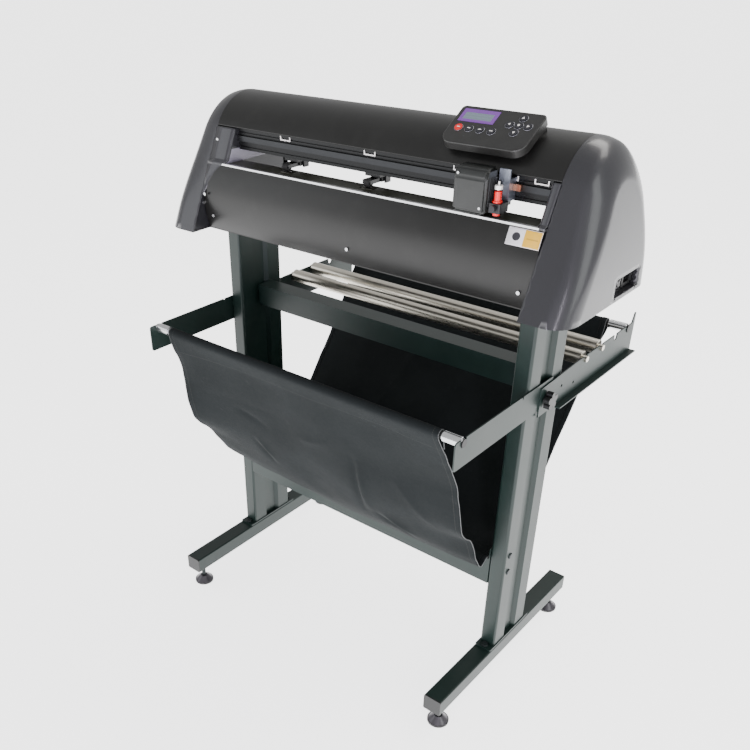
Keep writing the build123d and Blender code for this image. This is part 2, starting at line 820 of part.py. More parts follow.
def make_pinch_arm(x):
    """Forked arm with its pivot pin and lifting lever."""
    half = pinch_block_w / 2 - 4.4
    z0 = pinch_pivot_z - 3.5
    z1 = pinch_pivot_z + 3.5
    arm = box(x - half, x + half, pinch_pivot_y - 14, pinch_pivot_y + 8, z0, z1)
    for side in (-1, 1):
        a, b = x + side * (pinch_w / 2 + 0.5), x + side * (pinch_w / 2 + 3.5)
        arm = arm + box(a, b, grit_y - 5, pinch_pivot_y - 13, z0, z1)
    arm = arm + rod_x(2.0, x - pinch_block_w / 2, x + pinch_block_w / 2, pinch_pivot_y, pinch_pivot_z)
    arm = arm + rod_x(
        pinch_axle_r, x - pinch_w / 2 - 3.5, x + pinch_w / 2 + 3.5, grit_y, pinch_z
    )
    lever = box(x - 6, x + 6, pinch_pivot_y + 6, pinch_pivot_y + 52, z0 + 1, z1 - 1)
    tab = rod_along_y(4.5, x, pinch_pivot_y + 50, pinch_pivot_y + 64, pinch_pivot_z)
    return arm + lever + tab


def make_pinch_wheel(x):
    """Rubber pressing wheel over one grit roller."""
    wheel = rod_x(pinch_r, x - pinch_w / 2, x + pinch_w / 2, grit_y, pinch_z)
    return wheel - rod_x(pinch_axle_r + run_clear, x - pinch_w, x + pinch_w, grit_y, pinch_z)


# ---------------------------------------------------------------- carriage
def make_carriage_frame():
    """Slider block and bracket that ride on the rail and carry the tool."""
    x0, x1 = carriage_x0 + 6, tool_x + 8
    rail_clear = 0.1
    face = beam_front - rail_out
    low, top = rail_z - 20, rail_z + 15
    block = box(x0, x1, carriage_back, beam_front - 1, low, top)
    slot = box(
        x0 - 1, x1 + 1, face - rail_clear, beam_front + 1,
        rail_z - rail_h / 2 - rail_clear, rail_z + rail_h / 2 + rail_clear,
    )
    block = block - slot
    bracket = box(tool_x - 12, tool_x + 8, carriage_back - 3, carriage_back, carriage_low + 6, carriage_top - 2)
    return block + bracket


def make_carriage_cover():
    """Moulded box over the lifting magnet."""
    cover = box(carriage_x0, carriage_x1, carriage_front, carriage_back - gap, carriage_low, carriage_top)
    front = cover.faces().sort_by(Axis.Y)[0]
    cover = fillet(front.edges(), 5)
    hollow = box(
        carriage_x0 + 2, carriage_x1 - 2, carriage_front + 2.5, carriage_back + 5,
        carriage_low + 2, carriage_top - 2,
    )
    return cover - hollow


def make_magnet():
    """Lifting magnet inside the carriage cover."""
    x_mid = (carriage_x0 + carriage_x1) / 2
    body = box(x_mid - 17, x_mid + 17, carriage_front + 8, carriage_back - 1, carriage_low + 14, carriage_low + 52)
    coil = rod_up(9, x_mid, (carriage_front + carriage_back) / 2 + 2, carriage_low + 52, carriage_low + 60)
    return body + coil


def make_tool_clamp():
    """Clamp block that holds the blade holder and moves down to cut."""
    z0, z1 = carriage_low + 5, carriage_low + 20
    y1 = carriage_back - 3.4
    block = box(tool_x - 11, tool_x + 11, tool_y - 10, y1, z0, z1)
    block = fillet(block.edges().filter_by(Axis.Z), 3)
    stem = box(tool_x - 9, tool_x - 6.6, y1 - 10, y1, z1 - 1, z1 + 30)
    block = block + stem
    block = block - rod_up(blade_r + run_clear, tool_x, tool_y, z0 - 1, z1 + 1)
    block = block - rod_along_y(2.6, tool_x + 0.5, tool_y - 12, tool_y - blade_r + 1, z0 + 8)
    return block


def make_clamp_screw():
    """Knurled screw that locks the blade holder in the clamp."""
    z = carriage_low + 13
    head = rod_along_y(5, tool_x + 0.5, tool_y - 17, tool_y - 10.4, z)
    return head + rod_along_y(2.5, tool_x + 0.5, tool_y - 11, tool_y - blade_r - 0.6, z)


def make_blade_holder():
    """Blade holder barrel with its collar and blade tip."""
    z0 = carriage_low - 2
    body = rod_up(blade_r, tool_x, tool_y, z0 + 2, carriage_low + 38)
    collar = rod_up(blade_r + 2, tool_x, tool_y, carriage_low + 20.3, carriage_low + 23)
    tip = Pos(tool_x, tool_y, z0 + 1) * Cone(1.2, blade_r - 2, 2)
    return body + collar + tip


def make_blade_screw():
    """Knurled screw on the barrel that sets the blade's depth."""
    z0 = carriage_low + 38.2
    stem = rod_up(2, tool_x, tool_y, z0, z0 + 4)
    head = rod_up(blade_r + 0.5, tool_x, tool_y, z0 + 3, z0 + 9)
    pin = rod_up(1.6, tool_x, tool_y, z0 + 8, z0 + 15)
    return stem + head + pin


def make_belt_clip():
    """Brass clip that ties the carriage to its belt."""
    x0 = tool_x + 8.4
    return box(x0, x0 + 13, beam_front - 11, beam_front - 5.6, rail_z - 4, rail_z + 6)


belt_y0 = beam_front + 24
belt_y1 = belt_y0 + 2 * belt_r
belt_x = seam_x - 30


def make_carriage_pulley(side):
    """Pulley at one end of the carriage belt, inside the beam."""
    y = belt_y0 + belt_r
    z = (beam_low + beam_top) / 2
    body = rod_up(belt_r - 0.3, side * belt_x, y, z - 6, z + 6)
    return body - rod_up(2.5 + run_clear, side * belt_x, y, z - 7, z + 7)


def make_pulley_pin(side):
    """Pin that carries one carriage-belt pulley, held in the beam's walls."""
    y = belt_y0 + belt_r
    return rod_up(2.5, side * belt_x, y, beam_low + beam_wall, beam_top - beam_wall)


def make_carriage_belt():
    """Toothed belt loop inside the beam."""
    y = belt_y0 + belt_r
    z = (beam_low + beam_top) / 2
    r = belt_r + 0.1
    outer = SlotCenterToCenter(2 * belt_x, 2 * (r + belt_t))
    inner = SlotCenterToCenter(2 * belt_x, 2 * r)
    return extrude(Pos(0, y, z - belt_w / 2) * (outer - inner), amount=belt_w)


def make_carriage_motor():
    """Stepper motor above the belt's driven end, standing on the beam."""
    y = belt_y0 + belt_r
    top = beam_top
    body = box(belt_x - 20, belt_x + 20, y - 20, y + 20, top, top + 30)
    return fillet(body.edges().filter_by(Axis.Z), 4)


# ---------------------------------------------------------------- control pod
pod_origin = Vector(pod_x0, pod_back_y, pod_back_z)
pod_w = pod_x1 - pod_x0


def pod_place(u, v, w=0.0):
    """Place on the pod's face: u along X, v down the slope, w out of the face."""
    tilt = math.radians(pod_tilt)
    y = pod_back_y - v * math.cos(tilt) - w * math.sin(tilt)
    z = pod_back_z - v * math.sin(tilt) + w * math.cos(tilt)
    return Pos(pod_x0 + u, y, z) * Rot(pod_tilt, 0, 0)


def pod_block(u0, u1, v0, v1, w0, w1):
    """A block aligned with the pod's sloping face."""
    return pod_place((u0 + u1) / 2, (v0 + v1) / 2, (w0 + w1) / 2) * Box(u1 - u0, v1 - v0, w1 - w0)


def pod_rod(u, v, r, w0, w1):
    """A round bar square to the pod's face."""
    return pod_place(u, v, (w0 + w1) / 2) * Cylinder(r, w1 - w0)


row_v = 52.0
row_us = (20.5, 40.5, 61.0, 82.0)
cross_u = 121.0
cross_v = 32.0
cross_step = 16.5
button_r = 6.6
hole_clear = 0.3
arrow_places = {
    "up": (cross_u, cross_v - cross_step),
    "down": (cross_u, cross_v + cross_step),
    "left": (cross_u - cross_step, cross_v),
    "right": (cross_u + cross_step, cross_v),
    "enter": (cross_u, cross_v),
}
button_places = {f"row_{i + 1}": (u, row_v) for i, u in enumerate(row_us)}
button_places.update(arrow_places)


def pod_raw(grow):
    """Outer form of the pod, grown by grow, before it is fitted to the top cover."""
    wedge_v = 40.0
    slab = pod_block(-grow, pod_w + grow, -grow, pod_len + grow, -pod_t - grow, grow)
    corners = slab.edges().filter_by(lambda e: abs(e.tangent_at(0).dot(pod_normal())) > 0.99)
    front = corners.sort_by(Axis.Y)[:2]
    slab = fillet(front, 22 + grow)
    back = slab.edges().filter_by(lambda e: abs(e.tangent_at(0).dot(pod_normal())) > 0.99)
    back = back.sort_by(Axis.Y)[-2:]
    slab = fillet(back, 8 + grow)
    root = pod_block(6 - grow, pod_w - 6 + grow, -grow + 1, wedge_v + grow, -60, -pod_t + 1)
    return slab, root


def pod_normal():
    """Unit normal of the pod's face."""
    tilt = math.radians(pod_tilt)
    return Vector(0, -math.sin(tilt), math.cos(tilt))


def make_pod():
    """Hollow control pod, its foot shaped to the top cover."""
    slab, root = pod_raw(0)
    top = slab.faces().sort_by(Axis.Z)[-1]
    edges = [e for f in slab.faces() for e in f.edges()]
    normal = pod_normal()
    top_face = max(slab.faces(), key=lambda f: f.center().dot(normal))
    slab = fillet(top_face.edges(), 2.5)
    inner = pod_block(pod_wall, pod_w - pod_wall, pod_wall, pod_len - 2 * pod_wall, -pod_t + pod_wall, -pod_wall)
    corners = inner.edges().filter_by(lambda e: abs(e.tangent_at(0).dot(normal)) > 0.99)
    inner = fillet(corners.sort_by(Axis.Y)[:2], 18)
    pod = slab + root - inner
    pod = pod - body_solid(-0.3, cap_low, pod_x0 - 20, pod_x1 + 20)
    for u, v in button_places.values():
        pod = pod - pod_rod(u, v, button_r + hole_clear, -pod_wall - 1, 1)
    return pod - pod_block(8.8, 76.2, 7.8, 37.2, -pod_wall - 1, 1)


def make_pod_window():
    """Clear bezel window over the display."""
    pane = pod_block(9, 76, 8, 37, -pod_wall - 0.5, 0.4)
    return pane + pod_block(7, 78, 6, 39, -pod_wall - 1.5, -pod_wall)


def make_display():
    """Display glass with its frame, behind the window."""
    return pod_block(13, 72, 12, 33, -pod_wall - 4.5, -pod_wall - 1.5)


def make_pod_board():
    """Circuit board under the buttons."""
    board = pod_block(6, pod_w - 6, 6, 66, -11.5, -10)
    for u in (12, pod_w - 12):
        for v in (12, 60):
            board = board + pod_rod(u, v, 2.5, -pod_t + pod_wall, -11)
    return board


def make_button(u, v):
    """Round push button with a guide stem and a retaining flange."""
    cap = pod_rod(u, v, button_r, -pod_wall - 0.6, 1.6)
    rim = pod_rod(u, v, button_r + 1, -pod_wall - 1.9, -pod_wall - 0.4)
    stem = pod_rod(u, v, 2, -10 + button_travel + 0.3, -pod_wall - 1)
    return cap + rim + stem


# ---------------------------------------------------------------- electronics and fasteners
def make_main_board():
    """Control board inside the right cap."""
    plate = side_x + plate_t
    x0 = plate + 4
    board = box(x0, x0 + 1.6, 24, 124, 915, 1050) + box(x0 + 1.5, x0 + 9, 44, 70, 950, 980)
    for y in (30, 118):
        for z in (921, 1044):
            board = board + rod_x(3, plate, x0 + 1, y, z)
    return board


def make_power_supply():
    """Switched power supply inside the left cap."""
    x1 = -(side_x + plate_t)
    return box(x1 - 40, x1, -30, 90, 890, 990)


def make_front_screws():
    """Screws along the foot of the front cover."""
    solids = []
    z = pan_low + 29
    top, mid, foot = front_cover_points(0)
    r = 3.2
    for x in (-seam_x + 24, 0, seam_x - 24):
        y = foot[0] - 8.9
        head = rod_along_y(r, x, y - 2.2, y, z)
        solids.append(head)
    return group(*solids)


def make_side_screws():
    """Screws on the inner faces of both side plates."""
    solids = []
    for side in (-1, 1):
        x0, x1 = side * side_x, side * (side_x - 1.8)
        for y, z in ((-74, 1020), (-116, 918), (-30, 1074), (-34, 1008), (-20, 1008)):
            solids.append(rod_x(3, x0, x1, y, z))
    return group(*solids)


# ---------------------------------------------------------------- assembly
def pair(name, shape):
    """Keep a piece of the right side and its mirror image as two nodes."""
    keep(f"{name}_right", shape)
    keep(f"{name}_left", mirrored(shape))


def both(*shapes):
    """One node that holds pieces of the right side and their mirror images."""
    return group(*shapes, *[mirrored(shape) for shape in shapes])


def build_stand():
    """Feet, columns, crossbars, arms, rollers and basket."""
    foot_ys = (-foot_front + pad_inset, foot_back - pad_inset)
    pair("foot_beam", make_foot_beam())
    keep("foot_beam_caps", both(make_foot_caps()))
    keep("levelling_feet", both(*[make_levelling_foot(y) for y in foot_ys]))
    pair("column", make_column())
    keep("column_plates", both(make_base_plate(), make_top_plate()))
    keep("crossbars", group(
        make_crossbar(upper_bar_top, upper_bar_h, upper_bar_front, upper_bar_d, 0),
        make_crossbar(lower_bar_top, lower_bar_h, -leg_d / 2, lower_bar_d, lower_tab_h),
    ))
    keep("front_arms", both(make_front_arm()))
    keep("roll_brackets", both(make_roll_bracket()))
    keep("media_roller_front", make_media_roller(roller_ys[0]))
    keep("media_roller_rear", make_media_roller(roller_ys[1]))
    keep("basket_rods", group(
        make_basket_rod(rod_y, rod_z, arm_out + 2),
        make_basket_rod(rear_rod_y, rear_rod_z, arm_out + bracket_t + 2),
        make_rod_caps(rod_y, rod_z, leg_out),
        make_rod_caps(rear_rod_y, rear_rod_z, arm_out),
    ))
    pair("clamp_knob", make_knob())
    keep("catch_basket", make_sling())


def build_body():
    """Base, end caps, covers, beam and media drive."""
    cap = make_end_cap()
    keep("end_cap_right", make_socket_cap(cap))
    keep("end_cap_left", mirrored(cap))
    keep("side_plates", group(both(make_side_plate()), make_bearing(-1), make_bearing(1)))
    keep("base_pan", group(make_base_pan(), both(make_cap_skirt())))
    keep("top_cover", make_top_cover())
    keep("front_cover", make_front_cover())
    keep("rear_cover", make_rear_cover())
    keep("platen", make_platen())
    keep("cutting_strip", make_cutting_strip())
    keep("beam", group(make_beam(), make_rail()))
    shaft = make_grit_shaft() + make_driven_pulley()
    for x in grit_xs:
        shaft = shaft + make_grit_roller(x)
    keep("grit_shaft", shaft)
    keep("driver_pulley", make_driver_pulley())
    keep("inner_electrics", group(
        make_feed_motor(), make_carriage_motor(), make_pulley_pin(-1), make_pulley_pin(1),
        make_main_board(), make_power_supply(), make_pod_board(),
    ))
    keep("drive_belts", group(make_feed_belt(), make_carriage_belt()))
    for i, x in enumerate(grit_xs, 1):
        keep(f"pinch_block_{i}", make_pinch_block(x))
        keep(f"pinch_arm_{i}", make_pinch_arm(x))
        keep(f"pinch_wheel_{i}", make_pinch_wheel(x))
    keep("carriage_pulley_left", make_carriage_pulley(-1))
    keep("carriage_pulley_right", make_carriage_pulley(1))


def build_controls():
    """Carriage, control pod, electronics and fasteners."""
    keep("carriage_frame", group(make_carriage_frame(), make_belt_clip(), make_magnet()))
    keep("carriage_cover", make_carriage_cover())
    keep("tool_clamp", group(make_tool_clamp(), make_clamp_screw()))
    keep("blade_holder", group(make_blade_holder(), make_blade_screw()))
    keep("control_pod", make_pod())
    keep("pod_display", group(make_pod_window(), make_display()))
    for name, (u, v) in button_places.items():
        keep(f"button_{name}", make_button(u, v))
    keep("socket_panel", make_socket_panel())
    keep("mains_inlet", make_inlet())
    keep("switch_rocker", make_rocker())
    keep("screws", group(
        make_front_screws(), make_side_screws(), make_crossbar_bolts(), both(make_base_bolts())))


build_stand()
build_body()
build_controls()
for name, shape in parts.items():
    solids = [Pos(0, depth_shift, 0) * solid for solid in shape.solids()]
    export_step(Compound(solids), f"parts/{name}.step")
print(len(parts), "nodes, shifted along Y by", depth_shift)
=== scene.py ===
"""Looks of a roll-fed vinyl cutter on its floor stand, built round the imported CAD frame.

Everything is in metres in the frame's own axes: +X to the operator's right, +Y to the rear, +Z up.
"""
from __future__ import annotations

import json
import logging
import math
from dataclasses import dataclass
from enum import Enum
from typing import Any, Callable, Iterable, Sequence

import bmesh
import bpy
from mathutils import Matrix, Vector, noise


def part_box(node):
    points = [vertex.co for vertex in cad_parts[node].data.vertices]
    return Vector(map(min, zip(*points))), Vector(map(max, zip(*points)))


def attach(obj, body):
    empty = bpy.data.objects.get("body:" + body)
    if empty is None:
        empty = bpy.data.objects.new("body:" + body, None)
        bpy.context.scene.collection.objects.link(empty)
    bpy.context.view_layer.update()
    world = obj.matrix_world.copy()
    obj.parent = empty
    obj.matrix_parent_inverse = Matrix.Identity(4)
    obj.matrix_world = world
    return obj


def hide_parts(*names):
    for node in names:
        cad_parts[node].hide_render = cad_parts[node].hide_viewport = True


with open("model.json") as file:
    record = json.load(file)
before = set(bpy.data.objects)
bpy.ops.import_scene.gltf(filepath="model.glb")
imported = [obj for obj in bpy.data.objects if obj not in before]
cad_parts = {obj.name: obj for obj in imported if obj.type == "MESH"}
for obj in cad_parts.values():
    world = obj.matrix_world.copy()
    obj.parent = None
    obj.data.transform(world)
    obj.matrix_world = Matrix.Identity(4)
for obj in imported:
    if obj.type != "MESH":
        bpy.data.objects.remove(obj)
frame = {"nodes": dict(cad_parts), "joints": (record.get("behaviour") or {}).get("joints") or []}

LOG = logging.getLogger("vinyl_cutter")
MM = 0.001
Colour = tuple[float, float, float]
Point = tuple[float, float, float]
MapPoint = tuple[float, float]


def srgb(red: int, green: int, blue: int) -> Colour:
    """Linear colour of an 8-bit display colour.

    Args:
        red: Red, 0 to 255.
        green: Green, 0 to 255.
        blue: Blue, 0 to 255.

    Returns:
        The colour in linear light.
    """
    def linear(channel: int) -> float:
        """Undo the display curve of one channel."""
        value = channel / 255
        return value / 12.92 if value <= 0.04045 else ((value + 0.055) / 1.055) ** 2.4

    return linear(red), linear(green), linear(blue)


# ------------------------------------------------------------------------------ shader writing
class Value:
    """A socket of a shader node, with the arithmetic that adds Math nodes."""

    def __init__(self, graph: "Graph", socket: bpy.types.NodeSocket) -> None:
        """Keep the socket and the graph that it belongs to."""
        self.graph = graph
        self.socket = socket

    def _math(self, operation: str, *values: Any) -> "Value":
        """Add one Math node.

        Args:
            operation: The Math node's operation.
            values: Its inputs, in order.

        Returns:
            The node's output.
        """
        node = self.graph.add("ShaderNodeMath", {"operation": operation}, dict(enumerate(values)))
        return Value(self.graph, node.outputs[0])

    def __add__(self, other: Any) -> "Value":
        """Sum."""
        return self._math("ADD", self, other)

    __radd__ = __add__

    def __mul__(self, other: Any) -> "Value":
        """Product."""
        return self._math("MULTIPLY", self, other)

    __rmul__ = __mul__

    def __sub__(self, other: Any) -> "Value":
        """Difference."""
        return self._math("SUBTRACT", self, other)

    def __rsub__(self, other: Any) -> "Value":
        """Difference, the other way round."""
        return self._math("SUBTRACT", other, self)

    def __truediv__(self, other: Any) -> "Value":
        """Quotient."""
        return self._math("DIVIDE", self, other)

    def __gt__(self, other: Any) -> "Value":
        """One where this is the greater, otherwise nought."""
        return self._math("GREATER_THAN", self, other)

    def __lt__(self, other: Any) -> "Value":
        """One where this is the smaller, otherwise nought."""
        return self._math("LESS_THAN", self, other)

    def __abs__(self) -> "Value":
        """Size without sign."""
        return self._math("ABSOLUTE", self)

    def sine(self) -> "Value":
        """Sine of an angle in radians."""
        return self._math("SINE", self)

    def at_least(self, other: Any) -> "Value":
        """The larger of the two."""
        return self._math("MAXIMUM", self, other)

    def step(self, low: float, high: float) -> "Value":
        """Smooth step from nought to one.

        Args:
            low: Where it leaves nought.
            high: Where it reaches one.

        Returns:
            The step.
        """
        settings = {"interpolation_type": "SMOOTHSTEP"}
        values = {"Value": self, "From Min": low, "From Max": high}
        node = self.graph.add("ShaderNodeMapRange", settings, values)
        return Value(self.graph, node.outputs[0])

    def inside(self, low: float, high: float) -> "Value":
        """One between low and high, otherwise nought."""
        return (self > low) * (self < high)


class Graph:
    """The node tree of one material."""

    def __init__(self, name: str) -> None:
        """Make an empty material with its output and its main shader.

        Args:
            name: The material's name.
        """
        self.material = bpy.data.materials.new(name)
        self.material.use_nodes = True
        self.tree = self.material.node_tree
        self.tree.nodes.clear()
        output = self.tree.nodes.new("ShaderNodeOutputMaterial")
        self.shader = self.tree.nodes.new("ShaderNodeBsdfPrincipled")
        self.tree.links.new(self.shader.outputs[0], output.inputs[0])
        self._point: Value | None = None

    def add(self, kind: str, settings: dict[str, Any], values: dict[Any, Any]) -> bpy.types.Node:
        """Add a node.

        Args:
            kind: The node's type.
            settings: Its properties, set first.
            values: Values or links of its sockets, by name or number.

        Returns:
            The node.
        """
        node = self.tree.nodes.new(kind)
        for key, setting in settings.items():
            setattr(node, key, setting)
        for key, value in values.items():
            self.feed(node.inputs[key], value)
        return node

    def feed(self, socket: bpy.types.NodeSocket, value: Any) -> None:
        """Give a socket a link, a colour or a number.

        Args:
            socket: The socket to set.
            value: A Value, a colour or a number.
        """
        if isinstance(value, Value):
            self.tree.links.new(value.socket, socket)
        elif isinstance(value, tuple) and socket.type == "RGBA":
            socket.default_value = (*value, 1.0)
        else:
            socket.default_value = value

    @property
    def point(self) -> Value:
        """Place on the object, in metres in the frame's axes."""
        if self._point is None:
            node = self.add("ShaderNodeTexCoord", {}, {})
            self._point = Value(self, node.outputs["Object"])
        return self._point

    def axes(self) -> tuple[Value, Value, Value]:
        """X, Y and Z of the place on the object."""
        node = self.add("ShaderNodeSeparateXYZ", {}, {0: self.point})
        return tuple(Value(self, node.outputs[i]) for i in range(3))

    def cloth_axes(self) -> tuple[Value, Value]:
        """Place across and along a sheet, in metres, from its own map."""
        uv = self.add("ShaderNodeTexCoord", {}, {})
        node = self.add("ShaderNodeSeparateXYZ", {}, {0: Value(self, uv.outputs["UV"])})
        return Value(self, node.outputs[0]), Value(self, node.outputs[1])

    def stretched(self, scale: Point) -> Value:
        """The place on the object, scaled along each axis.

        Args:
            scale: Factor along X, Y and Z.

        Returns:
            The scaled place.
        """
        settings = {"operation": "MULTIPLY"}
        node = self.add("ShaderNodeVectorMath", settings, {0: self.point, 1: scale})
        return Value(self, node.outputs[0])

    def noise(self, size: float, detail: float = 3.0, where: Value | None = None) -> Value:
        """Soft random pattern from 0 to 1.

        Args:
            size: Size of a feature, in metres.
            detail: How many finer layers are added.
            where: Place to read it at, or None for the place on the object.

        Returns:
            The pattern's value.
        """
        place = self.point if where is None else where
        values = {"Vector": place, "Scale": 1 / size, "Detail": detail}
        return Value(self, self.add("ShaderNodeTexNoise", {}, values).outputs["Fac"])

    def cells(self, size: float) -> Value:
        """Distance to the middle of random cells of about that size."""
        values = {"Vector": self.point, "Scale": 1 / size}
        return Value(self, self.add("ShaderNodeTexVoronoi", {}, values).outputs["Distance"])

    def blend(self, share: Any, first: Any, second: Any) -> Value:
        """Mix two colours.

        Args:
            share: Share of the second, 0 to 1.
            first: Colour where the share is nought.
            second: Colour where the share is one.

        Returns:
            The mixed colour.
        """
        values = {0: share, 6: first, 7: second}
        node = self.add("ShaderNodeMix", {"data_type": "RGBA"}, values)
        return Value(self, node.outputs[2])

    def bump(self, height: Any, depth: float, under: Value | None = None) -> Value:
        """Normal of a raised pattern.

        Args:
            height: Pattern from 0 to 1.
            depth: How far one stands above nought, in metres.
            under: Normal of a pattern beneath, if there is one.

        Returns:
            The normal.
        """
        values = {"Height": height, "Distance": depth, "Strength": 1.0}
        if under is not None:
            values["Normal"] = under
        return Value(self, self.add("ShaderNodeBump", {}, values).outputs[0])

    def dress(self, **sockets: Any) -> bpy.types.Material:
        """Feed the main shader, by socket name with spaces written as underscores.

        Args:
            sockets: Value or link for each socket.

        Returns:
            The finished material.
        """
        for name, value in sockets.items():
            self.feed(self.shader.inputs[name.replace("_", " ")], value)
        return self.material


# ------------------------------------------------------------------------------ finishes
@dataclass(frozen=True)
class PowderCoat:
    """Baked powder paint on sheet steel: a fine orange peel with faint cloudiness and dust."""

    name: str
    colour: Colour
    roughness: float = 0.42
    peel: float = 1.6 * MM
    depth: float = 0.02 * MM
    specular: float = 0.4
    dust: float = 0.03

    def make(self) -> bpy.types.Material:
        """Build the material."""
        g = Graph(self.name)
        cloud = g.noise(90 * MM)
        grain = g.noise(self.peel, 2.0)
        fleck = g.noise(0.7 * MM, 1.0)
        light = tuple(c * 1.5 + 0.004 for c in self.colour)
        dark = tuple(c * 0.8 for c in self.colour)
        colour = g.blend(cloud.step(0.3, 0.7), dark, self.colour)
        colour = g.blend(fleck.step(0.62, 0.75) * 0.3, colour, light)
        settled = g.noise(35 * MM, 4.0).step(0.5, 0.8) * self.dust
        colour = g.blend(settled, colour, srgb(96, 95, 92))
        rough = self.roughness + (cloud - 0.5) * 0.10 + (fleck - 0.5) * 0.08
        return g.dress(
            Base_Color=colour, Roughness=rough, Normal=g.bump(grain, self.depth),
            Specular_IOR_Level=self.specular,
        )


@dataclass(frozen=True)
class MetallicPlastic:
    """Moulded cap plastic with fine metal flake under a thin clear coat."""

    name: str
    colour: Colour
    roughness: float = 0.36

    def make(self) -> bpy.types.Material:
        """Build the material."""
        g = Graph(self.name)
        flake = g.cells(0.45 * MM)
        cloud = g.noise(60 * MM)
        bright = tuple(c * 1.7 + 0.01 for c in self.colour)
        colour = g.blend(flake.step(0.25, 0.6) * 0.5, bright, self.colour)
        rough = self.roughness + (cloud - 0.5) * 0.06 + (flake - 0.5) * 0.06
        peel = g.noise(2.4 * MM, 2.0)
        return g.dress(
            Base_Color=colour, Roughness=rough, Metallic=0.30, Coat_Weight=0.5,
            Coat_Roughness=0.16, Normal=g.bump(peel, 0.01 * MM),
        )


@dataclass(frozen=True)
class SatinPlastic:
    """Moulded plastic with a fine spark-eroded texture."""

    name: str
    colour: Colour
    roughness: float = 0.45
    grain: float = 0.5 * MM

    def make(self) -> bpy.types.Material:
        """Build the material."""
        g = Graph(self.name)
        grain = g.noise(self.grain, 2.0)
        cloud = g.noise(25 * MM)
        soft = tuple(c * 1.35 + 0.003 for c in self.colour)
        colour = g.blend(cloud.step(0.35, 0.75) * 0.6, self.colour, soft)
        rough = self.roughness + (grain - 0.5) * 0.12
        return g.dress(Base_Color=colour, Roughness=rough, Normal=g.bump(grain, 0.012 * MM))


@dataclass(frozen=True)
class TurnedMetal:
    """Bare metal with fine lines along or round one axis."""

    name: str
    colour: Colour
    roughness: float = 0.28
    stretch: Point = (4.0, 900.0, 900.0)
    tarnish: float = 0.25

    def make(self) -> bpy.types.Material:
        """Build the material."""
        g = Graph(self.name)
        lines = g.noise(1.0, 4.0, g.stretched(self.stretch))
        stain = g.noise(18 * MM, 4.0).step(0.45, 0.8)
        dull = tuple(c * 0.55 for c in self.colour)
        colour = g.blend(stain * self.tarnish, self.colour, dull)
        colour = g.blend((lines - 0.5).step(0.05, 0.4) * 0.3, colour, dull)
        rough = self.roughness + (lines - 0.5) * 0.25 + stain * 0.10
        return g.dress(
            Base_Color=colour, Roughness=rough, Metallic=1.0, Normal=g.bump(lines, 0.002 * MM))


@dataclass(frozen=True)
class RubberFinish:
    """Dull rubber with fine pores."""

    name: str
    colour: Colour

    def make(self) -> bpy.types.Material:
        """Build the material."""
        g = Graph(self.name)
        pores = g.noise(0.6 * MM, 3.0)
        colour = g.blend(g.noise(12 * MM).step(0.4, 0.8) * 0.4, self.colour, srgb(58, 57, 55))
        return g.dress(
            Base_Color=colour, Roughness=0.75 + (pores - 0.5) * 0.15,
            Normal=g.bump(pores, 0.03 * MM))


Zone = tuple[Callable[[Value, Value, Value], Value], Colour, float, float]


@dataclass(frozen=True)
class Zones:
    """One material of several finishes, each in its own part of a node."""

    name: str
    base: Colour
    base_rough: float
    base_metal: float
    zones: tuple[Zone, ...]
    grain: float = 0.8 * MM
    depth: float = 0.015 * MM

    def make(self) -> bpy.types.Material:
        """Build the material: a zone is a mask, a colour, a roughness and a metal share."""
        g = Graph(self.name)
        x, y, z = g.axes()
        grain = g.noise(self.grain, 3.0)
        cloud = g.noise(22 * MM, 3.0)
        pale = tuple(c * 1.4 for c in self.base)
        colour = g.blend(cloud.step(0.3, 0.8) * 0.5, self.base, pale)
        rough = self.base_rough + (cloud - 0.5) * 0.1
        metal: Any = self.base_metal
        for mask_of, tint, tint_rough, tint_metal in self.zones:
            mask = mask_of(x, y, z)
            shade = g.blend(cloud.step(0.35, 0.8) * 0.35, tint, tuple(c * 0.7 for c in tint))
            colour = g.blend(mask, colour, shade)
            rough = rough * (1 - mask) + mask * tint_rough
            metal = metal * (1 - mask) + mask * tint_metal
        rough = rough + (grain - 0.5) * 0.08
        return g.dress(
            Base_Color=colour, Roughness=rough, Metallic=metal, Normal=g.bump(grain, self.depth))


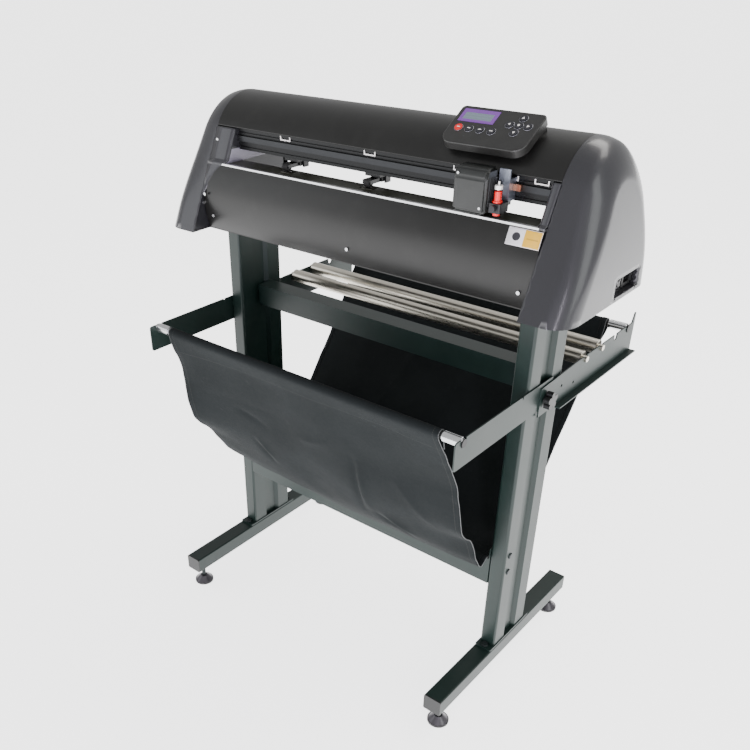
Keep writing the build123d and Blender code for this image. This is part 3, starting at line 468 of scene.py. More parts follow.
@dataclass(frozen=True)
class WovenCloth:
    """Plain woven polyester with a stitched hem along both free edges."""

    name: str
    colour: Colour
    pale: Colour
    width: float
    pitch: float = 1.1 * MM
    hem: float = 12 * MM
    pocket: float = 108 * MM

    def make(self) -> bpy.types.Material:
        """Build the material: it reads the sheet's own map, in metres."""
        g = Graph(self.name)
        u, v = g.cloth_axes()
        turn = 2 * math.pi / self.pitch
        weave = ((u * turn).sine() * (v * turn).sine() + 1) * 0.5
        slub = g.noise(7 * MM, 4.0)
        cloud = g.noise(140 * MM, 4.0)
        colour = g.blend(cloud.step(0.32, 0.72) * 0.6, self.colour, self.pale)
        colour = g.blend(weave * 0.25 + slub * 0.15, colour, self.pale)
        rubbed = g.noise(11 * MM, 4.0).step(0.62, 0.8) * 0.25
        colour = g.blend(rubbed, colour, srgb(48, 51, 52))
        edge = abs(u - self.width / 2)
        stitch_line = abs(edge - (self.width / 2 - self.hem)) < 0.7 * MM
        dash = (v * (2 * math.pi / (4 * MM))).sine() > -0.2
        seam_line = abs(v - self.pocket) < 0.7 * MM
        dash_across = (u * (2 * math.pi / (4 * MM))).sine() > -0.2
        thread = (stitch_line * dash).at_least(seam_line * dash_across)
        colour = g.blend(thread * 0.4, colour, srgb(66, 66, 64))
        bind = edge > self.width / 2 - 0.8 * MM
        colour = g.blend(bind * 0.75, colour, srgb(118, 120, 120))
        fuzz = g.noise(1.4 * MM, 3.0)
        normal = g.bump(g.noise(38 * MM, 5.0), 1.0 * MM)
        sunk = thread * -0.8 + weave * 0.5 + fuzz * 0.3
        normal = g.bump(sunk, 0.12 * MM, normal)
        return g.dress(
            Base_Color=colour, Roughness=0.82 + (slub - 0.5) * 0.15, Normal=normal,
            Specular_IOR_Level=0.14,
        )


@dataclass(frozen=True)
class DisplayGlass:
    """Tinted bezel with the grey display and its faint character cells behind it, all with a faint
    painted glow.
    """

    name: str
    corner: Point
    tilt: float
    bezel: Colour
    glass: Colour
    lit_u: tuple[float, float]
    lit_v: tuple[float, float]

    def make(self) -> bpy.types.Material:
        """Build the material: u runs to the right and v down the sloping face."""
        g = Graph(self.name)
        x, y, z = g.axes()
        u = x - self.corner[0]
        v = (self.corner[1] - y) * math.cos(self.tilt) + (self.corner[2] - z) * math.sin(self.tilt)
        lit = u.inside(*self.lit_u) * v.inside(*self.lit_v)
        cell_w = (self.lit_u[1] - self.lit_u[0]) / 17
        cell_h = (self.lit_v[1] - self.lit_v[0]) / 2.6
        across = ((u - self.lit_u[0]) * (2 * math.pi / cell_w)).sine() > -0.35
        down = ((v - self.lit_v[0]) * (2 * math.pi / cell_h)).sine() > -0.1
        shade = g.noise(9 * MM, 2.0)
        glass = g.blend(across * down * 0.22, self.glass, srgb(60, 66, 76))
        rim = g.blend(shade.step(0.3, 0.8) * 0.4, self.bezel, tuple(c * 0.7 for c in self.bezel))
        colour = g.blend(lit, rim, glass)
        # Painted glow: the bezel and the display window give off a faint light in their own
        # colours, though neither is a lamp.
        glow = g.blend(lit, tuple(c * 0.6 for c in self.bezel), tuple(c * 0.5 for c in self.glass))
        material = g.dress(
            Base_Color=colour, Roughness=0.18 + shade * 0.06, Coat_Weight=0.6, Coat_Roughness=0.05)
        g.feed(g.shader.inputs["Emission Color"], glow)
        g.shader.inputs["Emission Strength"].default_value = 0.35
        return material


@dataclass(frozen=True)
class PrintedLabel:
    """Plain two-colour label: a white end with a dark round mark and a yellow end, no words."""

    name: str

    def make(self) -> bpy.types.Material:
        """Build the material from the label's own map, 0 to 1 each way."""
        g = Graph(self.name)
        u, v = g.cloth_axes()
        white, yellow, ink = srgb(226, 224, 228), srgb(214, 166, 40), srgb(34, 32, 40)
        colour = g.blend(u > 0.5, white, yellow)
        across = (u - 0.27) * 2.0
        down = v - 0.52
        spot = (across * across + down * down) < 0.055
        colour = g.blend(spot * (u < 0.5), colour, ink)
        edge = (abs(u - 0.5) > 0.485).at_least(abs(v - 0.5) > 0.46)
        colour = g.blend(edge * 0.8, colour, white)
        bar = (abs(v - 0.5) < 0.04) * u.inside(0.58, 0.92)
        colour = g.blend(bar * 0.55, colour, srgb(150, 112, 20))
        film = g.noise(6 * MM, 2.0)
        return g.dress(
            Base_Color=colour, Roughness=0.35 + film * 0.1, Normal=g.bump(film, 0.02 * MM))


class Tint(Enum):
    """Colours of the machine's parts; the stand's also holds a painted green reflection."""

    # Dark stand paint with a painted green reflection cast mixed into its colour.
    STAND_AND_GREEN_CAST = srgb(18, 36, 32)
    COVER = srgb(22, 22, 21)
    CAP = srgb(27, 27, 31)
    BLACK = srgb(20, 21, 21)
    POD = srgb(30, 30, 29)
    CLOTH = srgb(20, 24, 25)
    CLOTH_PALE = srgb(29, 33, 34)
    PLATEN = srgb(58, 58, 49)
    BEAM = srgb(22, 23, 24)
    WALL = srgb(128, 124, 138)
    CHEEK = srgb(34, 34, 38)
    BOARD = srgb(28, 92, 50)
    BOLT = srgb(38, 44, 44)
    STEEL = srgb(205, 200, 188)
    BRIGHT = srgb(215, 216, 218)
    DARK_ZINC = srgb(84, 82, 86)
    COPPER = srgb(176, 128, 104)
    GREY_PLATE = srgb(140, 146, 158)
    RED = srgb(214, 28, 24)
    WHITE = srgb(236, 234, 230)
    KEY = srgb(30, 30, 36)
    RUBBER = srgb(24, 24, 24)
    BEZEL = srgb(112, 56, 150)
    GLASS = srgb(104, 118, 128)


# ------------------------------------------------------------------------------ mesh helpers
def new_piece(
        name: str, mesh: bpy.types.Mesh, body: str,
        material: bpy.types.Material) -> bpy.types.Object:
    """Put a mesh in the scene, dress it and let it ride on a body.

    Args:
        name: The piece's name.
        mesh: Its mesh, already in place.
        body: The body that it moves with.
        material: Its material.

    Returns:
        The object.
    """
    piece = bpy.data.objects.new(name, mesh)
    bpy.context.scene.collection.objects.link(piece)
    mesh.materials.append(material)
    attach(piece, body)
    return piece


def grid_mesh(
        name: str, rows: Sequence[Sequence[Point]],
        maps: Sequence[Sequence[MapPoint]]) -> bpy.types.Mesh:
    """Mesh of quads through a grid of points, with a map.

    Args:
        name: The mesh's name.
        rows: Points, row by row.
        maps: Map place of each point, row by row.

    Returns:
        The mesh, shaded smooth.
    """
    high, wide = len(rows), len(rows[0])
    points = [p for row in rows for p in row]
    places = [m for row in maps for m in row]
    faces = []
    for r in range(high - 1):
        for c in range(wide - 1):
            first = r * wide + c
            faces.append((first, first + 1, first + wide + 1, first + wide))
    mesh = bpy.data.meshes.new(name)
    mesh.from_pydata(points, [], faces)
    layer = mesh.uv_layers.new(name="map")
    for loop in mesh.loops:
        layer.data[loop.index].uv = places[loop.vertex_index]
    mesh.polygons.foreach_set("use_smooth", [True] * len(mesh.polygons))
    return mesh


def prism_mesh(
        name: str, outline: Sequence[Vector], lift: Vector, soft: float,
        steps: int = 2) -> bpy.types.Mesh:
    """Flat outline drawn out by lift, with softened edges.

    Args:
        name: The mesh's name.
        outline: Corner points in order.
        lift: How far and which way it is drawn out.
        soft: Width of the bevel.
        steps: Steps of the bevel.

    Returns:
        The mesh.
    """
    shape = bmesh.new()
    face = shape.faces.new([shape.verts.new(p) for p in outline])
    drawn = bmesh.ops.extrude_face_region(shape, geom=[face])
    moved = [e for e in drawn["geom"] if isinstance(e, bmesh.types.BMVert)]
    bmesh.ops.translate(shape, verts=moved, vec=lift)
    bmesh.ops.recalc_face_normals(shape, faces=shape.faces)
    bmesh.ops.bevel(shape, geom=list(shape.edges), offset=soft, segments=steps, affect="EDGES")
    mesh = bpy.data.meshes.new(name)
    shape.to_mesh(mesh)
    shape.free()
    return mesh


def front_of(piece: bpy.types.Object, x: float, z: float) -> float:
    """Y of a piece's foremost surface.

    Args:
        piece: The piece.
        x: Where to look, across.
        z: Where to look, in height.

    Returns:
        Y of the surface.
    """
    return piece.ray_cast(Vector((x, -1.0, z)), Vector((0, 1, 0)))[1].y


def ring_of(middle: Vector, radius: float, corners: int = 20) -> list[Vector]:
    """Corners of a round that faces the front.

    Args:
        middle: Its middle.
        radius: Its radius.
        corners: How many corners it has.

    Returns:
        The corners in order.
    """
    turns = [math.tau * k / corners for k in range(corners)]
    return [middle + Vector((math.cos(a), 0, math.sin(a))) * radius for a in turns]


def soften(node: str, width: float, segments: int = 2) -> None:
    """Small round on the sharp edges of a CAD node.

    Args:
        node: The node's name.
        width: Width of the round.
        segments: Steps of the round.
    """
    piece = frame["nodes"][node]
    bevel = piece.modifiers.new("soft_edges", "BEVEL")
    bevel.width = width
    bevel.segments = segments
    bevel.limit_method = "ANGLE"
    bevel.angle_limit = math.radians(38)
    bevel.harden_normals = True


def paint(material: bpy.types.Material, *nodes: str) -> None:
    """Give CAD nodes a material.

    Args:
        material: The material.
        nodes: Names of the nodes.
    """
    for name in nodes:
        mesh = frame["nodes"][name].data
        mesh.materials.clear()
        mesh.materials.append(material)


# ------------------------------------------------------------------------------ stand
@dataclass
class Stand:
    """Feet, columns, crossbars, arms and brackets."""

    edge: float = 0.7 * MM
    foot_pad: float = 4.5 * MM
    stem_from: float = 17 * MM
    sleeve_from: float = 338 * MM
    rod_end: float = 376.6 * MM

    def build(self) -> None:
        """Dress the stand's nodes."""
        # The stand's colour is its dark paint plus a painted green reflection cast.
        coat = PowderCoat(
            "stand_coat_painted_green_cast", Tint.STAND_AND_GREEN_CAST.value, roughness=0.40, depth=0.03 * MM).make()
        painted = (
            "foot_beam_left", "foot_beam_right", "column_left", "column_right", "column_plates",
            "crossbars", "front_arms", "roll_brackets",
        )
        paint(coat, *painted)
        for node in painted:
            soften(node, self.edge)
        paint(SatinPlastic("foot_end_plug", Tint.BLACK.value).make(), "foot_beam_caps")
        soften("foot_beam_caps", self.edge)
        self._dress_feet()
        self._dress_rods()
        knob = SatinPlastic("knob_plastic", Tint.BLACK.value, roughness=0.38).make()
        paint(knob, "clamp_knob_left", "clamp_knob_right")
        soften("clamp_knob_left", 1.2 * MM, 3)
        soften("clamp_knob_right", 1.2 * MM, 3)
        roller = TurnedMetal(
            "drawn_roller_tube", Tint.STEEL.value, roughness=0.3, tarnish=0.1).make()
        paint(roller, "media_roller_front", "media_roller_rear")

    def _dress_feet(self) -> None:
        """Rubber under a dark zinc dome, with a bright stem and nut."""
        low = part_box("levelling_feet")[0]
        stem = low[2] + self.stem_from
        feet = Zones(
            "levelling_foot", Tint.DARK_ZINC.value, 0.34, 0.8,
            (
                (lambda x, y, z: z < low[2] + self.foot_pad, Tint.RUBBER.value, 0.7, 0.0),
                (lambda x, y, z: z > stem, Tint.BOLT.value, 0.4, 0.6),
            ),
        )
        paint(feet.make(), "levelling_feet")
        soften("levelling_feet", 0.5 * MM)

    def _dress_rods(self) -> None:
        """Black rods with bright turned sleeves at their ends."""
        rods = Zones(
            "basket_rod", Tint.BLACK.value, 0.35, 0.3,
            (
                (lambda x, y, z: abs(x) > self.sleeve_from, Tint.BRIGHT.value, 0.22, 1.0),
                (lambda x, y, z: abs(x) > self.rod_end, Tint.BLACK.value, 0.45, 0.2),
            ),
        )
        paint(rods.make(), "basket_rods")
        soften("basket_rods", 0.5 * MM)


# ------------------------------------------------------------------------------ catch basket
@dataclass
class CatchBasket:
    """Fabric sling that hangs between the front rod and the rear rod."""

    half_width: float = 334 * MM
    pocket: float = 9.6 * MM
    sleeve: float = 9.5 * MM
    bar_height: float = 62 * MM
    thick: float = 0.7 * MM
    across: int = 150
    along: int = 300
    hem: float = 11 * MM
    fold_length: float = 1.05

    def __post_init__(self) -> None:
        """Find the two rods and the bar that the cloth lies on."""
        low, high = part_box("basket_rods")
        sleeve = self.sleeve
        self.front = (low[1] + sleeve, high[2] - sleeve)
        self.rear = (high[1] - sleeve, low[2] + sleeve)
        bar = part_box("crossbars")[0]
        self.bar = (bar[1], bar[2] + self.bar_height)

    def _guide(self, side: float) -> list[tuple[float, float]]:
        """Points in Y and Z that the cloth passes through.

        Args:
            side: -1 at the left edge, 0 in the middle of the cloth, 1 at the right edge.

        Returns:
            Points from the front pocket to the rear pocket.
        """
        fy, fz = self.front
        ry, rz = self.rear
        by, bz = self.bar
        r = self.pocket
        right = ((12, -36), (47, -92), (69, -137), (100, -261), (141, -308), (172, -368))
        middle = ((13, -40), (29, -94), (49, -154), (75, -228), (106, -296), (145, -357))
        left = ((1, -38), (17, -86), (25, -148), (35, -211), (74, -255), (112, -318))
        share = abs(side) ** 2.6
        other = right if side > 0 else left
        falls = [
            (
                fy + (m[0] * (1 - share) + o[0] * share) * MM,
                fz + (m[1] * (1 - share) + o[1] * share) * MM,
            )
            for m, o in zip(middle, other)
        ]
        dip = 13 * MM * (1 - 0.5 * share)
        over = [
            (by - 22 * MM, bz - dip), (by - 3.2 * MM, bz + 3.2 * MM),
            (by + 14 * MM, bz + 2.0 * MM), (by + 31 * MM, bz + 1.0 * MM),
        ]
        rises = [
            (by + 66 * MM, bz - 8 * MM), (by + 98 * MM, bz - 7 * MM),
            (by + 146 * MM, bz + 28 * MM), (ry - 176 * MM, rz - 248 * MM),
            (ry - 92 * MM, rz - 134 * MM),
        ]
        pocket_front = self._round_rod(fy, fz, (-20, 30, 90, 150, 185))
        pocket_rear = self._round_rod(ry, rz, (-5, 30, 90, 150, 200))
        start = [
            (falls[0][0] + 1.5 * MM, falls[0][1] + 2 * MM),
            ((falls[0][0] + 3 * (fy + r)) / 4, fz - 18 * MM),
        ]
        end = [(ry + r * 0.5, rz - 15 * MM), (ry - 28.4 * MM, rz - 37 * MM)]
        return start + pocket_front + falls + over + rises + pocket_rear[::-1] + end

    def _round_rod(self, y: float, z: float, angles: Iterable[int]) -> list[MapPoint]:
        """Points of a pocket round a rod.

        Args:
            y: Y of the rod.
            z: Z of the rod.
            angles: Directions of the points, in degrees.

        Returns:
            The points in Y and Z.
        """
        turns = [math.radians(angle) for angle in angles]
        return [(y + self.pocket * math.cos(a), z + self.pocket * math.sin(a)) for a in turns]

    @staticmethod
    def _curve(points: Sequence[tuple[float, float]], count: int) -> list[tuple[float, float]]:
        """Even points along a smooth curve through the guide points.

        Args:
            points: Guide points.
            count: How many points to return.

        Returns:
            Points at even steps of length.
        """
        fine: list[tuple[float, float]] = []
        ends = [points[0], *points, points[-1]]
        for i in range(1, len(ends) - 2):
            p0, p1, p2, p3 = (Vector((*ends[k], 0.0)) for k in (i - 1, i, i + 1, i + 2))
            d1 = max((p1 - p0).length, 1e-6) ** 0.5
            d2 = max((p2 - p1).length, 1e-6) ** 0.5
            d3 = max((p3 - p2).length, 1e-6) ** 0.5
            m1 = ((p1 - p0) / d1 - (p2 - p0) / (d1 + d2) + (p2 - p1) / d2) * d2
            m2 = ((p2 - p1) / d2 - (p3 - p1) / (d2 + d3) + (p3 - p2) / d3) * d2
            for k in range(24):
                t = k / 24
                q = (
                    p1 * (2 * t ** 3 - 3 * t ** 2 + 1) + m1 * (t ** 3 - 2 * t ** 2 + t)
                    + p2 * (3 * t ** 2 - 2 * t ** 3) + m2 * (t ** 3 - t ** 2)
                )
                fine.append((q.x, q.y))
        fine.append(points[-1])
        lengths = [0.0]
        for a, b in zip(fine, fine[1:]):
            lengths.append(lengths[-1] + math.hypot(b[0] - a[0], b[1] - a[1]))
        even = []
        k = 0
        for i in range(count):
            want = lengths[-1] * i / (count - 1)
            while k < len(lengths) - 2 and lengths[k + 1] < want:
                k += 1
            share = (want - lengths[k]) / max(lengths[k + 1] - lengths[k], 1e-9)
            even.append(tuple(fine[k][j] + (fine[k + 1][j] - fine[k][j]) * share for j in (0, 1)))
        return even

    def _creases(self, x: float, along: float) -> float:
        """How far soft folds push the cloth out of its smooth shape.

        Args:
            x: Place across the cloth.
            along: Place along it, from 0 at the front pocket to 1 at the rear pocket.

        Returns:
            The push, in metres.
        """
        # Each fold: its two ends as X and share of the length, its height and its spread in mm.
        folds = (
            (0.104, 0.20, 0.086, 0.335, -6.5, 8), (0.116, 0.21, 0.108, 0.32, 5.0, 10),
            (0.125, 0.335, 0.185, 0.385, -6.0, 9), (0.15, 0.33, 0.205, 0.36, 4.5, 9),
            (-0.20, 0.185, -0.135, 0.205, -3.5, 9), (-0.175, 0.255, -0.155, 0.31, -4.0, 8),
            (-0.165, 0.25, -0.145, 0.30, 3.0, 8), (-0.27, 0.165, -0.06, 0.17, -1.6, 14),
            (-0.03, 0.20, 0.04, 0.185, 2.5, 10), (-0.185, 0.39, -0.06, 0.375, 3.0, 12),
            (0.20, 0.22, 0.27, 0.30, 3.0, 14), (0.22, 0.66, 0.26, 0.80, 4.0, 16),
            (-0.12, 0.66, -0.05, 0.84, -4.0, 18), (0.02, 0.60, 0.06, 0.72, 3.0, 14),
        )
        push = 0.0
        length = self.fold_length
        here = Vector((x, along * length))
        for x0, s0, x1, s1, height, spread in folds:
            a, b = Vector((x0, s0 * length)), Vector((x1, s1 * length))
            span = b - a
            share = min(max((here - a).dot(span) / span.length_squared, 0.0), 1.0)
            away = (here - (a + span * share)).length
            taper = math.sin(math.pi * (0.12 + 0.76 * share))
            push += height * MM * taper * math.exp(-(away / (spread * MM)) ** 1.4)
        return push

    def _surface(self, x: float, curve: Sequence[tuple[float, float]], row: int) -> Vector:
        """Point of the cloth at x on one row.

        Args:
            x: Place across the cloth.
            curve: The cloth's section at that x.
            row: Index along the section.

        Returns:
            The point.
        """
        count = len(curve)
        y, z = curve[row]
        before, after = curve[max(row - 1, 0)], curve[min(row + 1, count - 1)]
        tangent = Vector((after[0] - before[0], after[1] - before[1])).normalized()
        out = Vector((tangent.y, -tangent.x))
        along = row / (count - 1)
        hold = min(max((min(along, 1 - along) - 0.055) / 0.05, 0.0), 1.0)
        hold = hold * hold * (3 - 2 * hold)
        near_bar = math.exp(-((along - 0.47) / 0.07) ** 2)
        wave = noise.noise(Vector((x * 5.0, along * 7.0, 2.7))) * 7 * MM
        ripple = noise.noise(Vector((x * 16.0 + along * 4, along * 19.0, 8.1))) * 1.6 * MM
        rim = (abs(x) / self.half_width) ** 14
        kink = noise.noise(Vector((x * 2.0, along * 20.0, 5.3))) * 6 * MM * rim
        kink += noise.noise(Vector((x * 2.0, along * 46.0, 9.9))) * 1.6 * MM * rim
        push = (wave + ripple + kink + self._creases(x, along)) * hold * (1 - 0.85 * near_bar)
        return Vector((x, y + out.x * push, z + out.y * push))

    def _rows(
            self, x_from: float, x_to: float, columns: int,
            lift: float) -> tuple[list[list[Point]], list[list[MapPoint]], float]:
        """Points and map of a strip of the cloth.

        Args:
            x_from: Left side.
            x_to: Right side.
            columns: Points across.
            lift: How far the strip stands off the cloth.

        Returns:
            Rows of points, rows of map places, and the mean length.
        """
        xs = [x_from + (x_to - x_from) * c / (columns - 1) for c in range(columns)]
        strips = []
        for x in xs:
            curve = self._curve(self._guide(x / self.half_width), self.along)
            strips.append([self._surface(x, curve, row) for row in range(self.along)])
        rows, maps = [], []
        run = 0.0
        for row in range(self.along):
            if row:
                run += (strips[columns // 2][row] - strips[columns // 2][row - 1]).length
            line, places = [], []
            for c, x in enumerate(xs):
                p = strips[c][row]
                a, b = strips[c][max(row - 1, 0)], strips[c][min(row + 1, self.along - 1)]
                t = (b - a).normalized()
                n = Vector((0, t.z, -t.y))
                line.append(tuple(p + n * lift))
                places.append((x + self.half_width, run))
            rows.append(line)
            maps.append(places)
        return rows, maps, run

    def build(self) -> None:
        """Make the sling and its two folded hems in place of the plain solid."""
        cloth = WovenCloth(
            "basket_cloth", Tint.CLOTH.value, Tint.CLOTH_PALE.value, 2 * self.half_width).make()
        rows, maps, length = self._rows(-self.half_width, self.half_width, self.across, 0.0)
        sling = new_piece("basket_sling", grid_mesh("basket_sling", rows, maps), "frame", cloth)
        self._thicken(sling, self.thick)
        for side in (-1, 1):
            ends = (self.half_width - self.hem, self.half_width - 0.3 * MM)
            edges = sorted(side * end for end in ends)
            rows, maps, _ = self._rows(edges[0], edges[1], 5, -1.0 * MM)
            name = "basket_hem_left" if side < 0 else "basket_hem_right"
            hem = new_piece(name, grid_mesh(name, rows, maps), "frame", cloth)
            self._thicken(hem, self.thick)
        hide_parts("catch_basket")
        LOG.info("catch basket: flat %.3f by %.3f m", 2 * self.half_width, length)

    @staticmethod
    def _thicken(piece: bpy.types.Object, thick: float) -> None:
        """Give a sheet its thickness.

        Args:
            piece: The sheet.
            thick: Its thickness.
        """
        solid = piece.modifiers.new("cloth_thickness", "SOLIDIFY")
        solid.thickness = thick
        solid.offset = 0.0


# ------------------------------------------------------------------------------ machine body
@dataclass
class MachineBody:
    """End caps, covers, platen, beam and the parts between them."""

    edge: float = 0.5 * MM
    mark_width: float = 26 * MM
    mark_height: float = 8 * MM
    mark_line: float = 2.3 * MM
    mark_xs: tuple[float, ...] = (-207 * MM, -1 * MM, 190 * MM, 288 * MM, 342 * MM)
    label_size: tuple[float, float] = (60 * MM, 26 * MM)
    end_screw_zs: tuple[float, float] = (937.5 * MM, 1036.5 * MM)
    cap_lean: float = 0.32
    cap_fall: float = 20 * MM
    cap_tuck: float = 0.22

    def build(self) -> None:
        """Dress the body's nodes and add its marks and label."""
        cap = MetallicPlastic("metallic_cap_plastic", Tint.CAP.value).make()
        cover = PowderCoat("cover_powder_coat", Tint.COVER.value, roughness=0.34).make()
        paint(cover, "top_cover", "front_cover", "rear_cover", "base_pan")
        for node in ("top_cover", "front_cover", "base_pan"):
            soften(node, self.edge)
        slot = (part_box("platen")[1][2] - 6 * MM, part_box("beam")[0][2] + 34 * MM)
        plates = Zones(
            "side_plate_paint", Tint.CHEEK.value, 0.42, 0.1,
            ((lambda x, y, z: z.inside(*slot), Tint.WALL.value, 0.4, 0.0),),
        )
        paint(plates.make(), "side_plates")
        platen = PowderCoat("platen_paint", Tint.PLATEN.value, roughness=0.38).make()
        paint(platen, "platen")
        strip = TurnedMetal("cutting_strip_metal", Tint.BRIGHT.value, roughness=0.3).make()
        paint(strip, "cutting_strip")
        self._dress_beam()
        self._dress_screws()
        self._add_marks()
        self._add_label()
        self._add_cheek("slot_cheek_left", -1, 46 * MM)
        self._add_cheek("slot_cheek_right", 1, 16 * MM)
        self._add_end_screws()
        self._shape_cap("cap_shell_left", "end_cap_left", cap)
        self._shape_cap("cap_shell_right", "end_cap_right", cap)

    def _shape_cap(self, name: str, node: str, plastic: bpy.types.Material) -> None:
        """Barrel-sided shell in place of a plain end cap, with its crown rolled down outwards.

        Args:
            name: The piece's name.
            node: The end cap that it stands for.
            plastic: Its material.
        """
        low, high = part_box(node)
        side = 1 if low[0] > 0 else -1
        seam = low[0] if side > 0 else -high[0]
        width = high[0] - low[0]
        base, top = low[2], high[2]
        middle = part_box("beam")[1][1] - 3 * MM
        shape = bmesh.new()
        shape.from_mesh(frame["nodes"][node].data)
        bmesh.ops.remove_doubles(shape, verts=shape.verts, dist=0.01 * MM)
        bmesh.ops.triangulate(shape, faces=shape.faces)
        for reach in (40 * MM, 22 * MM, 14 * MM, 9 * MM):
            long_edges = [e for e in shape.edges if e.calc_length() > reach]
            bmesh.ops.subdivide_edges(shape, edges=long_edges, cuts=1)
            bmesh.ops.triangulate(shape, faces=shape.faces)
        for vert in shape.verts:
            x, y, z = vert.co
            out = min(max((abs(x) - seam) / width, 0.0), 1.0)
            rise = min(max((z - base - 0.12 * (top - base)) / (0.88 * (top - base)), 0.0), 1.0)
            lean = self.cap_lean * rise ** 2
            high_up = rise * rise * (3 - 2 * rise)
            x = side * (seam + out * width * (1 - lean))
            z -= self.cap_fall * out ** 2 * high_up
            y += (middle - y) * self.cap_tuck * out ** 2 * high_up
            vert.co = (x, y, z)
        bmesh.ops.recalc_face_normals(shape, faces=shape.faces)
        mesh = bpy.data.meshes.new(name)
        shape.to_mesh(mesh)
        shape.free()
        mesh.polygons.foreach_set("use_smooth", [True] * len(mesh.polygons))
        mesh.set_sharp_from_angle(angle=math.radians(32))
        shell = new_piece(name, mesh, "frame", plastic)
        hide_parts(node)

    def _dress_beam(self) -> None:
        """Dark anodised beam with its bright ground rail edge."""
        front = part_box("beam")[0][1] + 4.9 * MM
        beam = Zones(
            "anodised_beam", Tint.BEAM.value, 0.38, 0.6,
            ((lambda x, y, z: y < front, srgb(50, 51, 53), 0.34, 0.9),),
        )
        paint(beam.make(), "beam")
        soften("beam", 0.3 * MM)

    def _dress_screws(self) -> None:
        """Zinc screws on the machine, dark bolts on the stand."""
        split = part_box("base_pan")[0][2]
        screws = Zones(
            "screw_heads", Tint.BOLT.value, 0.45, 0.3,
            ((lambda x, y, z: z > split, Tint.BRIGHT.value, 0.26, 1.0),),
        )
        paint(screws.make(), "screws")
        soften("screws", 0.4 * MM)

    def _add_marks(self) -> None:
        """White printed roller marks along the front of the beam."""
        ink = SatinPlastic("white_roller_mark", Tint.WHITE.value, roughness=0.5).make()
        low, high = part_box("beam")
        y = low[1] + 4.95 * MM
        top = high[2] - 1.5 * MM
        w, h, t = self.mark_width / 2, self.mark_height, self.mark_line
        for number, x in enumerate(self.mark_xs, 1):
            outline = [
                (-w, 0), (-w + t, 0), (-w + t, -h + t), (w - t, -h + t),
                (w - t, 0), (w, 0), (w, -h), (-w, -h),
            ]
            corners = [Vector((x + a, y, top + b)) for a, b in outline]
            mesh = prism_mesh(f"roller_mark_{number}", corners, Vector((0, -0.5 * MM, 0)), 0.1 * MM)
            piece = new_piece(f"roller_mark_{number}", mesh, "frame", ink)

    def _add_cheek(self, name: str, side: int, inset: float) -> None:
        """Moulded corner and inner wall that close one end of the media slot.

        Args:
            name: The piece's name.
            side: -1 for the left end, 1 for the right end.
            inset: How far the inner wall stands in from the cap.
        """
        cap = frame["nodes"]["end_cap_left" if side < 0 else "end_cap_right"]
        cover = frame["nodes"]["front_cover"]
        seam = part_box("front_cover")[1][0] + 0.6 * MM
        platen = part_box("platen")[1][2]
        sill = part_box("cutting_strip")
        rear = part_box("side_plates")[1][1] - 12 * MM
        low, high = platen - (62 if side < 0 else 2) * MM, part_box("beam")[1][2] + 1 * MM
        steps = 44
        rows, maps = [], []
        for r in range(steps):
            z = low + (high - low) * r / (steps - 1)
            rise = min(max((z - low) / (platen - low), 0.0), 1.0) if side < 0 else 1.0
            reach = inset * (1 - math.sqrt(max(1 - rise ** 2, 0.0))) * 0.35 + inset * rise * 0.65
            y = front_of(cap, side * (seam + 3 * MM), z)
            if z < platen - 3 * MM:
                y = min(y, front_of(cover, 0.1, z) - 1.0 * MM)
            elif z < sill[1][2] + 2 * MM:
                y = min(y, sill[0][1] - 1.0 * MM)
            back = rear if z > platen + 1 * MM else y + 16 * MM
            turn = min(7 * MM, reach * 0.5)
            line = [(0.0, 0.0), (reach * 0.35, 0.3 * MM), (reach - turn, 1.2 * MM)]
            for k in range(1, 7):
                a = math.pi / 2 * k / 6
                bend = turn * (1 - math.cos(a))
                line.append((reach - turn + turn * math.sin(a), 1.2 * MM + bend))
            line += [(reach, (back - y) * t) for t in (0.3, 0.6, 1.0)]
            rows.append([(side * (seam - a), y + b, z) for a, b in line])
            maps.append([(k / (len(line) - 1), r / (steps - 1)) for k in range(len(line))])
        plastic = MetallicPlastic("slot_cheek_plastic", Tint.CHEEK.value).make()
        wall = SatinPlastic("slot_wall_plastic", Tint.WALL.value, roughness=0.42).make()
        mesh = grid_mesh(name, rows, maps)
        cheek = new_piece(name, mesh, "frame", plastic)
        mesh.materials.append(wall)
        wide = len(rows[0]) - 1
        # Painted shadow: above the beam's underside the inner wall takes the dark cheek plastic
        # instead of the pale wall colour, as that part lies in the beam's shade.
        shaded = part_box("beam")[0][2] + 2 * MM
        for face in mesh.polygons:
            lit = platen - 3 * MM < face.center.z < shaded
            face.material_index = 1 if lit and face.index % wide >= wide - 3 else 0
        solid = cheek.modifiers.new("wall", "SOLIDIFY")
        solid.thickness = 0.8 * MM
        solid.offset = 1.0 if side < 0 else -1.0

    def _add_end_screws(self) -> None:
        """Two bright screws down the inner edge of the left end."""
        steel = TurnedMetal("end_screw_steel", Tint.BRIGHT.value).make()
        cap, cover = frame["nodes"]["end_cap_left"], frame["nodes"]["front_cover"]
        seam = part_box("front_cover")[0][0]
        for number, z in enumerate(self.end_screw_zs, 1):
            y = front_of(cap, seam - 4 * MM, z)
            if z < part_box("front_cover")[1][2] - 3 * MM:
                y = min(y, front_of(cover, seam + 9 * MM, z))
            ring = ring_of(Vector((seam + 8 * MM, y + 1.2 * MM, z)), 3.2 * MM)
            name = f"end_screw_{number}"
            mesh = prism_mesh(name, ring, Vector((0, -2.6 * MM, 0)), 0.4 * MM)
            new_piece(name, mesh, "frame", steel)

